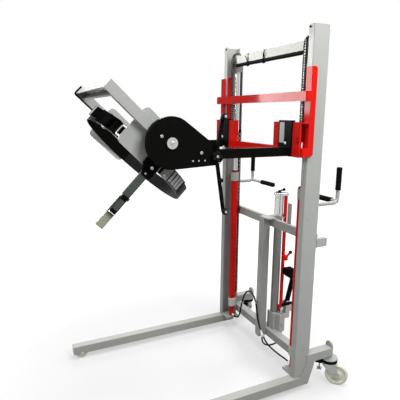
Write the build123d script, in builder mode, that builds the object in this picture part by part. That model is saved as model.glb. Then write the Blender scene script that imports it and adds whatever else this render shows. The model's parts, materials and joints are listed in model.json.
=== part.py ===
from build123d import *
import math
import os

# Manual lift trolley with a tilting drum cradle, in millimetres.
# +Z is up, the load side faces -Y, and the origin lies on the floor in the middle of the trolley.
# "right" is +X. Heights are over the floor, and "behind" values are measured from the mast plane.

# Mast
frame_width = 871.0
mast_y = 410.0
upright_depth = 95.0
upright_flange = 40.0
upright_wall = 5.0
upright_corner = 6.0
upright_top = 1925.0
stub_length = 68.5
stub_height = 46.0
stub_width = 24.5
stub_bottom = 825.0

# Legs
leg_size = 50.0
leg_wall = 4.0
leg_top = 82.0
leg_overhang = 5.5
rear_bar_top = 208.0
rear_bar_height = 48.0
rear_bar_end = 204.0
bend_toe = -12.0
bend_shoulder = 29.0
bend_sole = 44.5
bend_heel = 86.0
end_plate_thickness = 10.0
end_plate_rise = 32.0

# Front rollers
roller_radius = 37.0
roller_width = 34.0
roller_setback = 50.0
roller_pin_radius = 7.0
roller_gap = 2.0

# Cross beams and centre post
lower_beam_top = 162.0
lower_beam_height = 48.0
lower_beam_depth = 50.0
middle_beam_top = 890.0
middle_beam_height = 50.0
middle_beam_depth = 25.0
beam_wall = 3.0
tab_x = 170.0
tab_width = 31.0
tab_thickness = 6.0
tab_height = 118.0
post_x = -12.0
post_width = 52.0
post_depth = 45.0
post_wall = 4.0
post_bottom = 103.0
post_round = 18.0
shelf_thickness = 6.0

# Push handles
handle_x = 415.0
handle_height = 1052.0
handle_reach = 139.0
handle_radius = 10.0
handle_bend = 26.0
post_grip_rise = 68.0
post_grip_length = 120.0
side_bar_rise = 5.0
left_grip_offset = 120.0
right_grip_offset = 40.0
side_grip_length = 135.0
grip_radius = 15.0
grip_wall_end = 4.0

# Lift cylinders and their brackets
cylinder_x = 350.0
cylinder_behind = 4.0
barrel_radius = 23.0
barrel_top = 1135.0
collar_radius = 26.0
collar_bottom = 170.0
collar_height = 58.0
foot_radius = 16.0
foot_plate_thickness = 10.0
clamp_bottom = 1072.0
clamp_height = 56.0
clamp_wall = 2.5
rod_radius = 11.0
rod_seat_depth = 120.0

# Lift chain over the yoke's pulleys
chain_x = 352.0
pulley_height = 1850.0
chain_pitch_radius = 32.0
chain_thickness = 12.0
chain_inner_width = 16.2
chain_outer_plate = 3.6
chain_slack = 0.3
anchor_height = 262.0
anchor_block = 30.0
anchor_rod_radius = 5.0
hitch_height = 30.0
hitch_rise = 98.0

# Yoke
yoke_drop = 30.0
yoke_height = 45.0
yoke_depth = 40.0
clevis_drop = 78.0
clevis_base = 34.0
clevis_cheek = 8.0
clevis_top_radius = 22.0
pulley_pin_radius = 8.0

# Carriage
member_rise = 5.0
member_height = 425.0
member_thickness = 7.0
member_width = 41.0
member_gap = 5.0
member_wrap = 22.0
member_round = 14.0
bar_height = 45.0
bar_depth = 30.0
bar_wall = 3.0
bar_spread = 315.0
box_inner_x = 213.0
box_outer_x = 430.0
box_height = 170.0
box_plate = 8.0
box_back_plate = 6.0
shoe_web = 8.0
shoe_reach = 10.0
shoe_play = 0.4
shoe_height = 70.0

# Tilt arms
arm_inner_x = 316.0
arm_width = 30.0
arm_height = 45.0
arm_wall = 4.0
arm_drop = 80.0
hook_inner_x = 268.0
hook_width = 105.0
hook_plate = 8.0
hook_lip = 14.0
arm_nose = 55.0
cheek_thickness = 16.0
cheek_radius = 48.0
bolt_radius = 7.0
bolt_head = 5.0
case_bolt_ahead = 70.0

# Cradle pivot, crank and chain drive
pivot_ahead = 737.0
pivot_height = 1382.0
cradle_tilt = 45.8
pivot_radius = 15.0
pivot_head_radius = 25.0
pivot_head_thickness = 9.0
running_gap = 0.05
crank_ahead = 530.0
crank_drop = 62.0
crank_shaft_radius = 9.0
crank_hub_radius = 20.0
crank_hub_length = 14.0
crank_bar_width = 17.0
crank_bar_thickness = 8.0
crank_up = (29.0, 177.0)
crank_down = (40.0, -256.0)
knob_radius = 16.0
knob_length = 26.0
knob_pin_radius = 5.0
case_big_radius = 115.0
case_small_radius = 42.0
case_wall = 3.0
case_depth = 24.0
case_step = 10.0
case_step_drop = 35.0
sprocket_width = 7.0
big_sprocket_radius = 76.0
small_sprocket_radius = 20.0
drive_chain_gap = 0.6
drive_chain_height = 8.0

# Cradle
drum_radius = 292.5
lining_gap = 2.0
drum_drop = 30.0
band_thickness = 5.0
band_start = 60.0
band_width = 65.0
plate_thickness = 8.0
plate_back = 55.0
plate_front = 145.0
plate_low = -60.0
plate_high = 175.0
plate_round = 25.0
bail_width = 46.0
bail_tube = 32.0
bail_shift = 15.0
bail_start = 100.0
bail_clearance = 40.0
bail_thickness = 50.0
bail_wall = 4.0
band_joint = -42.0
buckle_gap = 3.0
buckle_thickness = 15.0
buckle_height = 145.0
ratchet_angle = 35.0
ratchet_length = 120.0
ratchet_height = 22.0
ratchet_side = 6.0
ratchet_pin_radius = 5.0
lever_length = 110.0
lever_thickness = 10.0
link_angle = 52.0
link_size = 46.0
link_bar = 8.0
hook_bar_offset = -18.0
hook_bar_width = 40.0
hook_bar_thickness = 6.0
hook_bar_start = 95.0
drum_end = 467.0
rim_catch_depth = 34.0
latch_start = 305.0
latch_length = 95.0
latch_height = 14.0
latch_pin_radius = 4.0

# Casters
caster_x = 440.0
caster_behind = 190.0
caster_turn = 45.0
wheel_radius = 62.5
wheel_width = 32.0
trail = 45.0
top_plate_radius = 46.0
top_plate_thickness = 6.0
race_radius = 41.0
race_height = 10.0
fork_head_height = 14.0
fork_plate = 4.0
fork_side_gap = 2.0
fork_reach = 34.0
axle_radius = 6.0
axle_cap_radius = 10.0
axle_cap = 5.0
kingpin_radius = 8.0
swivel_gap = 0.3
brake_pin_radius = 4.0
brake_pin_x = -26.0
brake_height = 122.0
brake_length = 48.0
brake_thickness = 8.0

# Foot pump
pump_x = 24.0
pump_behind = 100.0
pump_radius = 25.0
base_width = 64.0
base_depth = 56.0
base_height = 110.0
tube_top = 900.0
head_height = 130.0
head_radius = 26.5
cap_thickness = 16.0
cap_margin = 6.0
release_x = 48.0
release_behind = 132.0
release_radius = 11.0
lever_height = 631.0
lever_pin_behind = 152.0
lever_ear = 30.0
lever_pin_radius = 4.0
lever_rise = (35.0, 30.0)
lever_knob_radius = 12.0
cable_radius = 2.5
pedal_x = 80.0
pedal_behind = 150.0
pedal_height = 346.0
pedal_top = (17.0, 185.0)
pedal_arm_width = 22.0
pedal_arm_depth = 18.0
pedal_pad_width = 62.0
pedal_pad_depth = 22.0
pedal_pad_height = 60.0
pedal_pin_radius = 7.0
pedal_ear = 8.0
plunger_radius = 7.0
plunger_behind = 112.0
plunger_bottom = 215.0
plunger_top = 312.0
top_lever_length = 46.0
top_lever_radius = 4.5
top_ball_radius = 9.0

# Hoses
hose_radius = 5.0
ferrule_radius = 8.0
ferrule_length = 22.0
tee_radius = 9.0

os.makedirs("parts", exist_ok=True)
sides = (("left", -1), ("right", 1))


def keep(piece, name):
    """Label a finished piece and write its file."""
    piece.part.label = name
    export_step(piece.part, f"parts/{name}.step")


def block(x0, x1, y0, y1, z0, z1, mode=Mode.ADD):
    """Box between two opposite corners."""
    with Locations(((x0 + x1) / 2, (y0 + y1) / 2, (z0 + z1) / 2)):
        Box(abs(x1 - x0), abs(y1 - y0), abs(z1 - z0), mode=mode)


def bar_x(x0, x1, y, z, radius, mode=Mode.ADD):
    """Round bar along X."""
    with Locations(((x0 + x1) / 2, y, z)):
        Cylinder(radius, abs(x1 - x0), rotation=(0, 90, 0), mode=mode)


def bar_y(x, y0, y1, z, radius, mode=Mode.ADD):
    """Round bar along Y."""
    with Locations((x, (y0 + y1) / 2, z)):
        Cylinder(radius, abs(y1 - y0), rotation=(90, 0, 0), mode=mode)


def bar_z(x, y, z0, z1, radius, mode=Mode.ADD):
    """Upright round bar."""
    with Locations((x, y, (z0 + z1) / 2)):
        Cylinder(radius, abs(z1 - z0), mode=mode)


def side_plane(x):
    """Plane at a given X whose own axes are Y and Z."""
    return Plane(origin=(x, 0, 0), x_dir=(0, 1, 0), z_dir=(1, 0, 0))


# Faces that several pieces share
outer_face = frame_width / 2
lip_x = outer_face - upright_flange
upright_front = mast_y - upright_depth / 2
upright_back = mast_y + upright_depth / 2
leg_outer = outer_face + leg_overhang
leg_inner = leg_outer - leg_size
leg_bottom = leg_top - leg_size
leg_middle = (leg_outer + leg_inner) / 2
rear_bar_bottom = rear_bar_top - rear_bar_height
caster_y = mast_y + caster_behind
turn = math.radians(caster_turn)
wheel_y = caster_y + trail * math.sin(turn)
wheel_round = wheel_width / 4
rear_end = (
    wheel_y + (wheel_radius - wheel_round) * math.sin(turn) + (wheel_width / 2 - wheel_round) * math.cos(turn)
    + wheel_round
)
leg_front = -rear_end
foot_plate_top = leg_top + foot_plate_thickness
crank_height = pivot_height - crank_drop
lower_bar_bottom = pivot_height - arm_drop
member_bottom = lower_bar_bottom + member_rise
upper_bar_top = lower_bar_bottom + bar_spread
box_top = lower_bar_bottom + box_height
chain_split = lower_bar_bottom + hitch_rise
chain_overlap = pulley_height - chain_split
yoke_bottom = pulley_height - yoke_drop
clevis_bottom = pulley_height - clevis_drop

# Uprights: channels that open towards each other, each with a short tube welded on its back
for side, sign in sides:
    with BuildPart() as upright:
        with BuildSketch(Plane.XY.offset(leg_top)):
            with Locations((sign * (outer_face - upright_flange / 2), mast_y)):
                web = Rectangle(upright_flange, upright_depth)
            outward = Axis((0, 0, 0), (sign, 0, 0))
            fillet(web.vertices().group_by(outward)[-1], upright_corner)
            with Locations((sign * (outer_face - upright_wall - upright_flange / 2), mast_y)):
                Rectangle(upright_flange, upright_depth - 2 * upright_wall, mode=Mode.SUBTRACT)
        extrude(amount=upright_top - leg_top)
        stub_x = (sign * outer_face, sign * (outer_face - stub_width))
        block(*stub_x, upright_back, upright_back + stub_length, stub_bottom, stub_bottom + stub_height)
        stub_bore = (sign * (outer_face - beam_wall), sign * (outer_face - stub_width + beam_wall))
        block(*stub_bore, upright_back + beam_wall, upright_back + stub_length,
              stub_bottom + beam_wall, stub_bottom + stub_height - beam_wall, Mode.SUBTRACT)
    keep(upright, f"upright_{side}")

# Legs: low tubes that crank up behind the mast into the bars over the casters
roller_y = leg_front + roller_setback
for side, sign in sides:
    with BuildPart() as leg:
        with BuildSketch(side_plane(sign * leg_middle)):
            with BuildLine():
                Polyline(
                    (leg_front, leg_bottom),
                    (mast_y + bend_sole, leg_bottom),
                    (mast_y + bend_heel, rear_bar_bottom),
                    (mast_y + rear_bar_end, rear_bar_bottom),
                    (mast_y + rear_bar_end, rear_bar_top),
                    (mast_y + bend_shoulder, rear_bar_top),
                    (mast_y + bend_shoulder, rear_bar_bottom),
                    (mast_y + bend_toe, leg_top),
                    (leg_front, leg_top),
                    close=True,
                )
            make_face()
        extrude(amount=leg_size / 2, both=True)
        block(sign * outer_face, sign * (leg_inner - leg_wall), upright_front - leg_size, upright_back,
              leg_top, rear_bar_top + leg_size, Mode.SUBTRACT)
        bore = (sign * (leg_inner + leg_wall), sign * (leg_outer - leg_wall))
        block(*bore, leg_front + leg_wall, upright_front, leg_bottom + leg_wall, leg_top - leg_wall,
              Mode.SUBTRACT)
        block(*bore, leg_front + leg_wall, roller_y + roller_radius + leg_wall,
              leg_bottom - leg_wall, leg_bottom + 2 * leg_wall, Mode.SUBTRACT)
        bar_x(sign * (leg_inner - leg_wall), sign * (leg_outer + leg_wall), roller_y, roller_radius,
              roller_pin_radius + running_gap, Mode.SUBTRACT)
        plate_back_y = mast_y + rear_bar_end + end_plate_thickness
        with BuildSketch(Plane.XZ.offset(-plate_back_y)):
            with Locations((sign * leg_middle, rear_bar_bottom)):
                Rectangle(leg_size, rear_bar_height + end_plate_rise - leg_size / 2,
                          align=(Align.CENTER, Align.MIN))
            with Locations((sign * leg_middle, rear_bar_top + end_plate_rise - leg_size / 2)):
                Circle(leg_size / 2)
        extrude(amount=end_plate_thickness)
    keep(leg, f"leg_{side}")

# Front rollers: nylon rollers turned with their pins, which run in the legs' walls
for side, sign in sides:
    with BuildPart() as front_roller:
        bar_x(sign * (leg_middle - roller_width / 2), sign * (leg_middle + roller_width / 2), roller_y,
              roller_radius, roller_radius)
        fillet(front_roller.edges().filter_by(GeomType.CIRCLE), 3 * roller_gap)
        bar_x(sign * (leg_middle - roller_width / 2 - roller_gap),
              sign * (leg_middle + roller_width / 2 + roller_gap),
              roller_y, roller_radius, 2 * roller_pin_radius)
        bar_x(sign * leg_inner, sign * leg_outer, roller_y, roller_radius, roller_pin_radius)
    keep(front_roller, f"front_roller_{side}")

# Lower cross beam between the cranked legs
lower_beam_back = upright_back + lower_beam_depth
with BuildPart() as lower_beam:
    block(-leg_inner, leg_inner, upright_back, lower_beam_back, lower_beam_top - lower_beam_height,
          lower_beam_top)
    block(-leg_inner, leg_inner, upright_back + beam_wall, lower_beam_back - beam_wall,
          lower_beam_top - lower_beam_height + beam_wall, lower_beam_top - beam_wall, Mode.SUBTRACT)
keep(lower_beam, "lower_beam")

# Middle cross beam across the backs of the uprights, with an upright tab on its top
middle_beam_back = upright_back + middle_beam_depth
middle_half = outer_face - stub_width
with BuildPart() as middle_beam:
    block(-middle_half, middle_half, upright_back, middle_beam_back,
          middle_beam_top - middle_beam_height, middle_beam_top)
    block(-middle_half, middle_half, upright_back + beam_wall, middle_beam_back - beam_wall,
          middle_beam_top - middle_beam_height + beam_wall, middle_beam_top - beam_wall, Mode.SUBTRACT)
    block(tab_x - tab_width / 2, tab_x + tab_width / 2, middle_beam_back - tab_thickness, middle_beam_back,
          middle_beam_top, middle_beam_top + tab_height)
keep(middle_beam, "middle_beam")

# Centre post: folded channel in front of both beams, with a shelf that steadies the pump
pump_y = mast_y + pump_behind
release_y = mast_y + release_behind
post_front = upright_back - post_depth
with BuildPart() as centre_post:
    with BuildSketch(Plane.XZ.offset(-post_front)):
        with Locations((post_x, post_bottom)):
            front = Rectangle(post_width, middle_beam_top - post_bottom, align=(Align.CENTER, Align.MIN))
        fillet(front.vertices().group_by(Axis.Y)[0], post_round)
    extrude(amount=-post_depth)
    with BuildSketch(Plane.XZ.offset(-post_front - post_wall)):
        with Locations((post_x, post_bottom + post_wall)):
            hollow = Rectangle(post_width - 2 * post_wall, middle_beam_top - post_bottom - 2 * post_wall,
                               align=(Align.CENTER, Align.MIN))
        fillet(hollow.vertices().group_by(Axis.Y)[0], post_round - post_wall)
    extrude(amount=-post_depth, mode=Mode.SUBTRACT)
    block(post_x - post_width / 2, pump_x + pump_radius + cap_margin, post_front,
          pump_y + pump_radius + cap_margin / 2,
          middle_beam_top, middle_beam_top + shelf_thickness)
    bar_z(pump_x, pump_y, middle_beam_top - shelf_thickness, middle_beam_top + 2 * shelf_thickness,
          pump_radius + chain_slack, Mode.SUBTRACT)
    bar_z(release_x, release_y, middle_beam_top - shelf_thickness, middle_beam_top + 2 * shelf_thickness,
          release_radius + chain_slack, Mode.SUBTRACT)
keep(centre_post, "centre_post")

# Push handles: rods bent up behind the uprights, each with a bar that points inwards
handle_y = upright_back + handle_reach
post_grip_bottom = handle_height + post_grip_rise
handle_top = post_grip_bottom + post_grip_length - grip_wall_end
side_bar_z = handle_height + side_bar_rise
side_grip_starts = {"left": handle_x - left_grip_offset, "right": handle_x - right_grip_offset}
with BuildPart() as push_handles:
    for side, sign in sides:
        with BuildLine() as rod_path:
            FilletPolyline(
                (sign * handle_x, upright_back, handle_height),
                (sign * handle_x, handle_y, handle_height),
                (sign * handle_x, handle_y, handle_top),
                radius=handle_bend,
            )
        with BuildSketch(Plane.XZ.offset(-upright_back)):
            with Locations((sign * handle_x, handle_height)):
                Circle(handle_radius)
        sweep(path=rod_path.wires()[0])
        side_grip_end = side_grip_starts[side] - side_grip_length
        bar_x(sign * handle_x, sign * (side_grip_end + grip_wall_end), handle_y, side_bar_z, handle_radius)
keep(push_handles, "push_handles")

# Grips: soft sleeves closed at their outer ends, pushed over the handle rods
with BuildPart() as handle_grips:
    for side, sign in sides:
        bar_z(sign * handle_x, handle_y, post_grip_bottom, post_grip_bottom + post_grip_length, grip_radius)
        side_grip_end = side_grip_starts[side] - side_grip_length
        bar_x(sign * side_grip_starts[side], sign * side_grip_end, handle_y, side_bar_z, grip_radius)
    fillet(handle_grips.edges().filter_by(GeomType.CIRCLE), grip_wall_end)
    for side, sign in sides:
        bar_z(sign * handle_x, handle_y, post_grip_bottom - grip_wall_end, handle_top, handle_radius,
              Mode.SUBTRACT)
        side_grip_end = side_grip_starts[side] - side_grip_length
        bar_x(sign * handle_x, sign * (side_grip_end + grip_wall_end), handle_y, side_bar_z, handle_radius,
              Mode.SUBTRACT)
keep(handle_grips, "handle_grips")

# Lift cylinders: plunger cylinders that stand on foot plates
cylinder_y = mast_y + cylinder_behind
with BuildPart() as lift_cylinders:
    for side, sign in sides:
        bar_z(sign * cylinder_x, cylinder_y, foot_plate_top, barrel_top, foot_radius)
        bar_z(sign * cylinder_x, cylinder_y, collar_bottom, barrel_top, barrel_radius)
        bar_z(sign * cylinder_x, cylinder_y, collar_bottom, collar_bottom + collar_height, collar_radius)
        bar_z(sign * cylinder_x, cylinder_y, collar_bottom, barrel_top, rod_radius + chain_slack,
              Mode.SUBTRACT)
keep(lift_cylinders, "lift_cylinders")

# Cylinder brackets: foot plates, top clamps and the anchors of the chains' fixed ends
chain_rear = cylinder_y + chain_pitch_radius
chain_front = cylinder_y - chain_pitch_radius
chain_half = chain_thickness / 2
chain_side = chain_inner_width / 2 + chain_slack + chain_outer_plate
clamp_outer = barrel_radius + clamp_wall
clamp_tongue_x = chain_x + chain_side + 2
with BuildPart() as cylinder_brackets:
    for side, sign in sides:
        block(sign * (cylinder_x - collar_radius), sign * lip_x, upright_front, upright_back,
              foot_plate_top - foot_plate_thickness, foot_plate_top)
        bar_z(sign * cylinder_x, cylinder_y, clamp_bottom, clamp_bottom + clamp_height, clamp_outer)
        block(sign * clamp_tongue_x, sign * lip_x, mast_y + shoe_reach + 2 * clamp_wall, upright_back,
              clamp_bottom, clamp_bottom + clamp_height)
        bar_z(sign * cylinder_x, cylinder_y, clamp_bottom, clamp_bottom + clamp_height, barrel_radius,
              Mode.SUBTRACT)
        bar_z(sign * chain_x, chain_rear, foot_plate_top, anchor_height - anchor_block, anchor_rod_radius)
        block(sign * (chain_x - chain_side), sign * (chain_x + chain_side), chain_rear - chain_half,
              chain_rear + chain_half, anchor_height - anchor_block, anchor_height)
keep(cylinder_brackets, "cylinder_brackets")

# Fixed chain runs: the outer link plates between the anchors and the lowest place of the pulleys
plate_inner = chain_inner_width / 2 + chain_slack
with BuildPart() as chain_fixed_strands:
    for side, sign in sides:
        for edge in (-1, 1):
            block(sign * chain_x + edge * plate_inner, sign * chain_x + edge * chain_side,
                  chain_rear - chain_half,
                  chain_rear + chain_half, anchor_height, chain_split)
keep(chain_fixed_strands, "chain_fixed_strands")

# Chain runs on the yoke: the inner link plates, over the pulley and down both sides
with BuildPart() as chain_yoke_strands:
    for side, sign in sides:
        with BuildSketch(side_plane(sign * chain_x)):
            with Locations((cylinder_y, pulley_height)):
                Circle(chain_pitch_radius + chain_half)
                Circle(chain_pitch_radius - chain_half, mode=Mode.SUBTRACT)
            with Locations((cylinder_y, pulley_height)):
                Rectangle(4 * chain_pitch_radius, 2 * chain_pitch_radius, align=(Align.CENTER, Align.MAX),
                          mode=Mode.SUBTRACT)
            for run_y in (chain_front, chain_rear):
                with Locations((run_y, pulley_height)):
                    Rectangle(chain_thickness, chain_overlap, align=(Align.CENTER, Align.MAX))
        extrude(amount=chain_inner_width / 2, both=True)
keep(chain_yoke_strands, "chain_yoke_strands")

# Chain runs on the carriage: the outer link plates of the front runs, each on its hitch block
bar_back = upright_front - member_gap - member_thickness
with BuildPart() as chain_carriage_strands:
    for side, sign in sides:
        block(sign * (chain_x - chain_side), sign * (chain_x + chain_side), bar_back,
              chain_front + chain_half,
              chain_split - hitch_height, chain_split - chain_slack)
        for edge in (-1, 1):
            block(sign * chain_x + edge * plate_inner, sign * chain_x + edge * chain_side,
                  chain_front - chain_half,
                  chain_front + chain_half, chain_split - hitch_height, pulley_height)
keep(chain_carriage_strands, "chain_carriage_strands")

# Chain pulleys on the yoke's pins
pulley_radius = chain_pitch_radius - chain_half - chain_slack
for side, sign in sides:
    with BuildPart() as chain_pulley:
        bar_x(sign * (chain_x - chain_side), sign * (chain_x + chain_side), cylinder_y, pulley_height,
              pulley_radius)
        bar_x(sign * (chain_x - chain_side), sign * (chain_x + chain_side), cylinder_y, pulley_height,
              pulley_pin_radius + running_gap, Mode.SUBTRACT)
    keep(chain_pulley, f"chain_pulley_{side}")

# Yoke: cross tube that joins the two clevises on the lift rods, with the pulleys' pins
cheek_inner = chain_side + 2 * chain_slack
cheek_outer = cheek_inner + clevis_cheek
with BuildPart() as yoke_bar:
    yoke_end = chain_x - cheek_outer
    block(-yoke_end, yoke_end, cylinder_y - yoke_depth / 2, cylinder_y + yoke_depth / 2,
          yoke_bottom, yoke_bottom + yoke_height)
    block(-yoke_end, yoke_end, cylinder_y - yoke_depth / 2 + beam_wall,
          cylinder_y + yoke_depth / 2 - beam_wall,
          yoke_bottom + beam_wall, yoke_bottom + yoke_height - beam_wall, Mode.SUBTRACT)
    for side, sign in sides:
        block(sign * (chain_x - cheek_outer), sign * (chain_x + cheek_outer),
              cylinder_y - clevis_top_radius,
              cylinder_y + clevis_top_radius, clevis_bottom, clevis_bottom + clevis_base)
        for edge in (-1, 1):
            cheek = (sign * chain_x + edge * cheek_inner, sign * chain_x + edge * cheek_outer)
            block(*cheek, cylinder_y - clevis_top_radius, cylinder_y + clevis_top_radius, clevis_bottom,
                  pulley_height)
            bar_x(*cheek, cylinder_y, pulley_height, clevis_top_radius)
        bar_x(sign * (chain_x - cheek_outer), sign * (chain_x + cheek_outer), cylinder_y, pulley_height,
              pulley_pin_radius)
keep(yoke_bar, "yoke_bar")

# Lift rods: the plungers of the two cylinders
with BuildPart() as lift_rods:
    for side, sign in sides:
        bar_z(sign * cylinder_x, cylinder_y, barrel_top - rod_seat_depth, clevis_bottom, rod_radius)
keep(lift_rods, "lift_rods")

# Carriage side members: angles that wrap the front outer corner of each upright
member_outer = outer_face + member_gap + member_thickness
member_front = bar_back
member_plate_back = member_front + member_thickness
for side, sign in sides:
    with BuildPart() as carriage_side:
        block(sign * (member_outer - member_width), sign * member_outer, member_front, member_plate_back,
              member_bottom, member_bottom + member_height)
        with BuildSketch(side_plane(sign * (member_outer - member_thickness / 2))):
            with Locations((member_front, member_bottom)):
                flange = Rectangle(member_thickness + member_gap + member_wrap, member_height,
                                   align=(Align.MIN, Align.MIN))
            fillet(flange.vertices().group_by(Axis.X)[-1], member_round)
        extrude(amount=member_thickness / 2, both=True)
    keep(carriage_side, f"carriage_side_{side}")

# Carriage cross bars: rectangular tubes with closed ends, across the fronts of the side members
bar_front = bar_back - bar_depth
with BuildPart() as carriage_bars:
    for bottom in (upper_bar_top - bar_height, lower_bar_bottom):
        block(-member_outer, member_outer, bar_front, bar_back, bottom, bottom + bar_height)
        bar_end = member_outer - bar_wall
        block(-bar_end, bar_end, bar_front + bar_wall, bar_back - bar_wall, bottom + bar_wall,
              bottom + bar_height - bar_wall, Mode.SUBTRACT)
keep(carriage_bars, "carriage_bars")

# Bracket boxes: folded pockets on the lower bar, open at their outer ends
lower_bar_top = lower_bar_bottom + bar_height
box_front = bar_front - box_plate
with BuildPart() as bracket_boxes:
    for side, sign in sides:
        block(sign * box_inner_x, sign * box_outer_x, box_front, bar_front, lower_bar_bottom, box_top)
        block(sign * box_inner_x, sign * member_outer, bar_front, bar_back, box_top - box_plate, box_top)
        block(sign * box_inner_x, sign * (box_inner_x + box_plate), bar_front, bar_back, lower_bar_top,
              box_top)
        block(sign * box_inner_x, sign * (outer_face + member_gap - member_width), bar_back - box_back_plate,
              bar_back, lower_bar_top, box_top)
keep(bracket_boxes, "bracket_boxes")

# Guide shoes: glide blocks inside the channels on webs from the cross bars
shoe_outer = outer_face - upright_wall - shoe_play
shoe_half = upright_depth / 2 - upright_wall - shoe_play
with BuildPart() as guide_shoes:
    for bottom in (upper_bar_top - bar_height, lower_bar_bottom):
        for side, sign in sides:
            block(sign * (lip_x - shoe_web - shoe_play), sign * (lip_x - shoe_play), bar_back,
                  mast_y + shoe_reach,
                  bottom, bottom + bar_height)
            block(sign * (lip_x - shoe_play), sign * (lip_x + shoe_play), mast_y - shoe_half,
                  mast_y + shoe_reach,
                  bottom, bottom + bar_height)
            block(sign * (lip_x + shoe_play), sign * shoe_outer, mast_y - shoe_half, mast_y + shoe_half,
                  bottom + bar_height / 2 - shoe_height / 2, bottom + bar_height / 2 + shoe_height / 2)
keep(guide_shoes, "guide_shoes")

# Tilt arms: hook plates on the bracket boxes, tubes that reach forwards, and bearing cheeks at their ends
pivot_y = mast_y - pivot_ahead
crank_y = mast_y - crank_ahead
arm_outer_x = arm_inner_x + arm_width
hook_back = box_front
hook_front = hook_back - hook_plate
arm_bottom = lower_bar_bottom
arm_top = arm_bottom + arm_height
arm_end = pivot_y - arm_nose
for side, sign in sides:
    with BuildPart() as tilt_arm:
        block(sign * hook_inner_x, sign * (hook_inner_x + hook_width), hook_front, hook_back, arm_bottom,
              box_top)
        block(sign * hook_inner_x, sign * (hook_inner_x + hook_width), hook_front, hook_back + hook_lip,
              box_top, box_top + hook_plate)
        block(sign * arm_inner_x, sign * arm_outer_x, arm_end, hook_front, arm_bottom, arm_top)
        block(sign * (arm_inner_x + arm_wall), sign * (arm_outer_x - arm_wall), arm_end, hook_front,
              arm_bottom + arm_wall, arm_top - arm_wall, Mode.SUBTRACT)
        with BuildSketch(side_plane(sign * (arm_inner_x + cheek_thickness / 2))):
            with Locations((pivot_y, pivot_height)):
                Circle(cheek_radius)
            with Locations((pivot_y, arm_bottom)):
                Rectangle(2 * arm_nose, arm_height, align=(Align.CENTER, Align.MIN))
            make_hull()
        extrude(amount=cheek_thickness / 2, both=True)
        bar_x(sign * (arm_inner_x - arm_wall), sign * (arm_outer_x + arm_wall), pivot_y, pivot_height,
              pivot_radius + running_gap, Mode.SUBTRACT)
        if sign > 0:
            bar_x(arm_inner_x - arm_wall, arm_outer_x + arm_wall, crank_y, crank_height,
                  crank_shaft_radius + running_gap, Mode.SUBTRACT)
    keep(tilt_arm, f"tilt_arm_{side}")

# Chain case on the outside of the right arm: a back plate and a cover with a raised lower half
case_back_x = arm_outer_x
case_cover_x = case_back_x + case_wall
case_face_x = case_back_x + case_depth
case_step_x = case_face_x + case_step
case_step_top = pivot_height - case_step_drop
with BuildPart() as chain_case:
    for x_start, thickness, inset, mode in (
        (case_back_x, case_depth, 0.0, Mode.ADD),
        (case_face_x, case_step, 0.0, Mode.ADD),
        (case_cover_x, case_depth - 2 * case_wall, case_wall, Mode.SUBTRACT),
    ):
        with BuildSketch(side_plane(x_start)):
            with Locations((pivot_y, pivot_height)):
                Circle(case_big_radius - inset)
            with Locations((crank_y, crank_height)):
                Circle(case_small_radius - inset)
            make_hull()
            if x_start == case_face_x:
                with Locations((pivot_y, case_step_top)):
                    Rectangle(4 * crank_ahead, 4 * case_big_radius, align=(Align.CENTER, Align.MIN),
                              mode=Mode.SUBTRACT)
        extrude(amount=thickness, mode=mode)
    bar_x(case_back_x, case_step_x, pivot_y, pivot_height, pivot_radius + cheek_thickness / 8,
          Mode.SUBTRACT)
    bar_x(case_back_x, case_step_x, crank_y, crank_height, crank_shaft_radius + cheek_thickness / 8,
          Mode.SUBTRACT)
keep(chain_case, "chain_case")

# Arm bolts: cap screws through the hook plates and on the face of the chain case
case_bolts = ((pivot_y - 46, pivot_height + 31, case_face_x),
              (crank_y - case_bolt_ahead, case_step_top - 10, case_step_x))
with BuildPart() as arm_bolts:
    for side, sign in sides:
        hook_bolt_x = hook_inner_x + 0.6 * hook_width
        box_bolt_x = box_outer_x - 2 * bolt_radius
        bar_y(sign * hook_bolt_x, hook_front - bolt_head, hook_front, arm_top + 3 * bolt_radius, bolt_radius)
        bar_y(sign * box_bolt_x, box_front - bolt_head, box_front, arm_top + 5 * bolt_radius, bolt_radius)
    for bolt_y, bolt_z, face_x in case_bolts:
        bar_x(face_x, face_x + bolt_head, bolt_y, bolt_z, bolt_radius)
keep(arm_bolts, "arm_bolts")

# Drive chain inside the case, a closed loop round the two sprockets
sprocket_x = case_cover_x + (case_depth - 2 * case_wall - sprocket_width) / 2
with BuildPart() as tilt_chain:
    for radius_gain, mode in ((drive_chain_gap + drive_chain_height, Mode.ADD),
                              (drive_chain_gap, Mode.SUBTRACT)):
        with BuildSketch(side_plane(sprocket_x)):
            with Locations((pivot_y, pivot_height)):
                Circle(big_sprocket_radius + radius_gain)
            with Locations((crank_y, crank_height)):
                Circle(small_sprocket_radius + radius_gain)
            make_hull()
        extrude(amount=sprocket_width, mode=mode)
keep(tilt_chain, "tilt_chain")

# Cradle frame of reference: X across, then away from the band's open side, then towards the drum's mouth
tilt = math.radians(cradle_tilt)
cradle = Plane(
    origin=(0, pivot_y, pivot_height), x_dir=(1, 0, 0), z_dir=(0, -math.cos(tilt), -math.sin(tilt))
)
drum_axis = -drum_drop
band_inner = drum_radius + lining_gap
band_outer = band_inner + band_thickness
plate_inner_x = band_outer
plate_outer_x = plate_inner_x + plate_thickness

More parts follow.
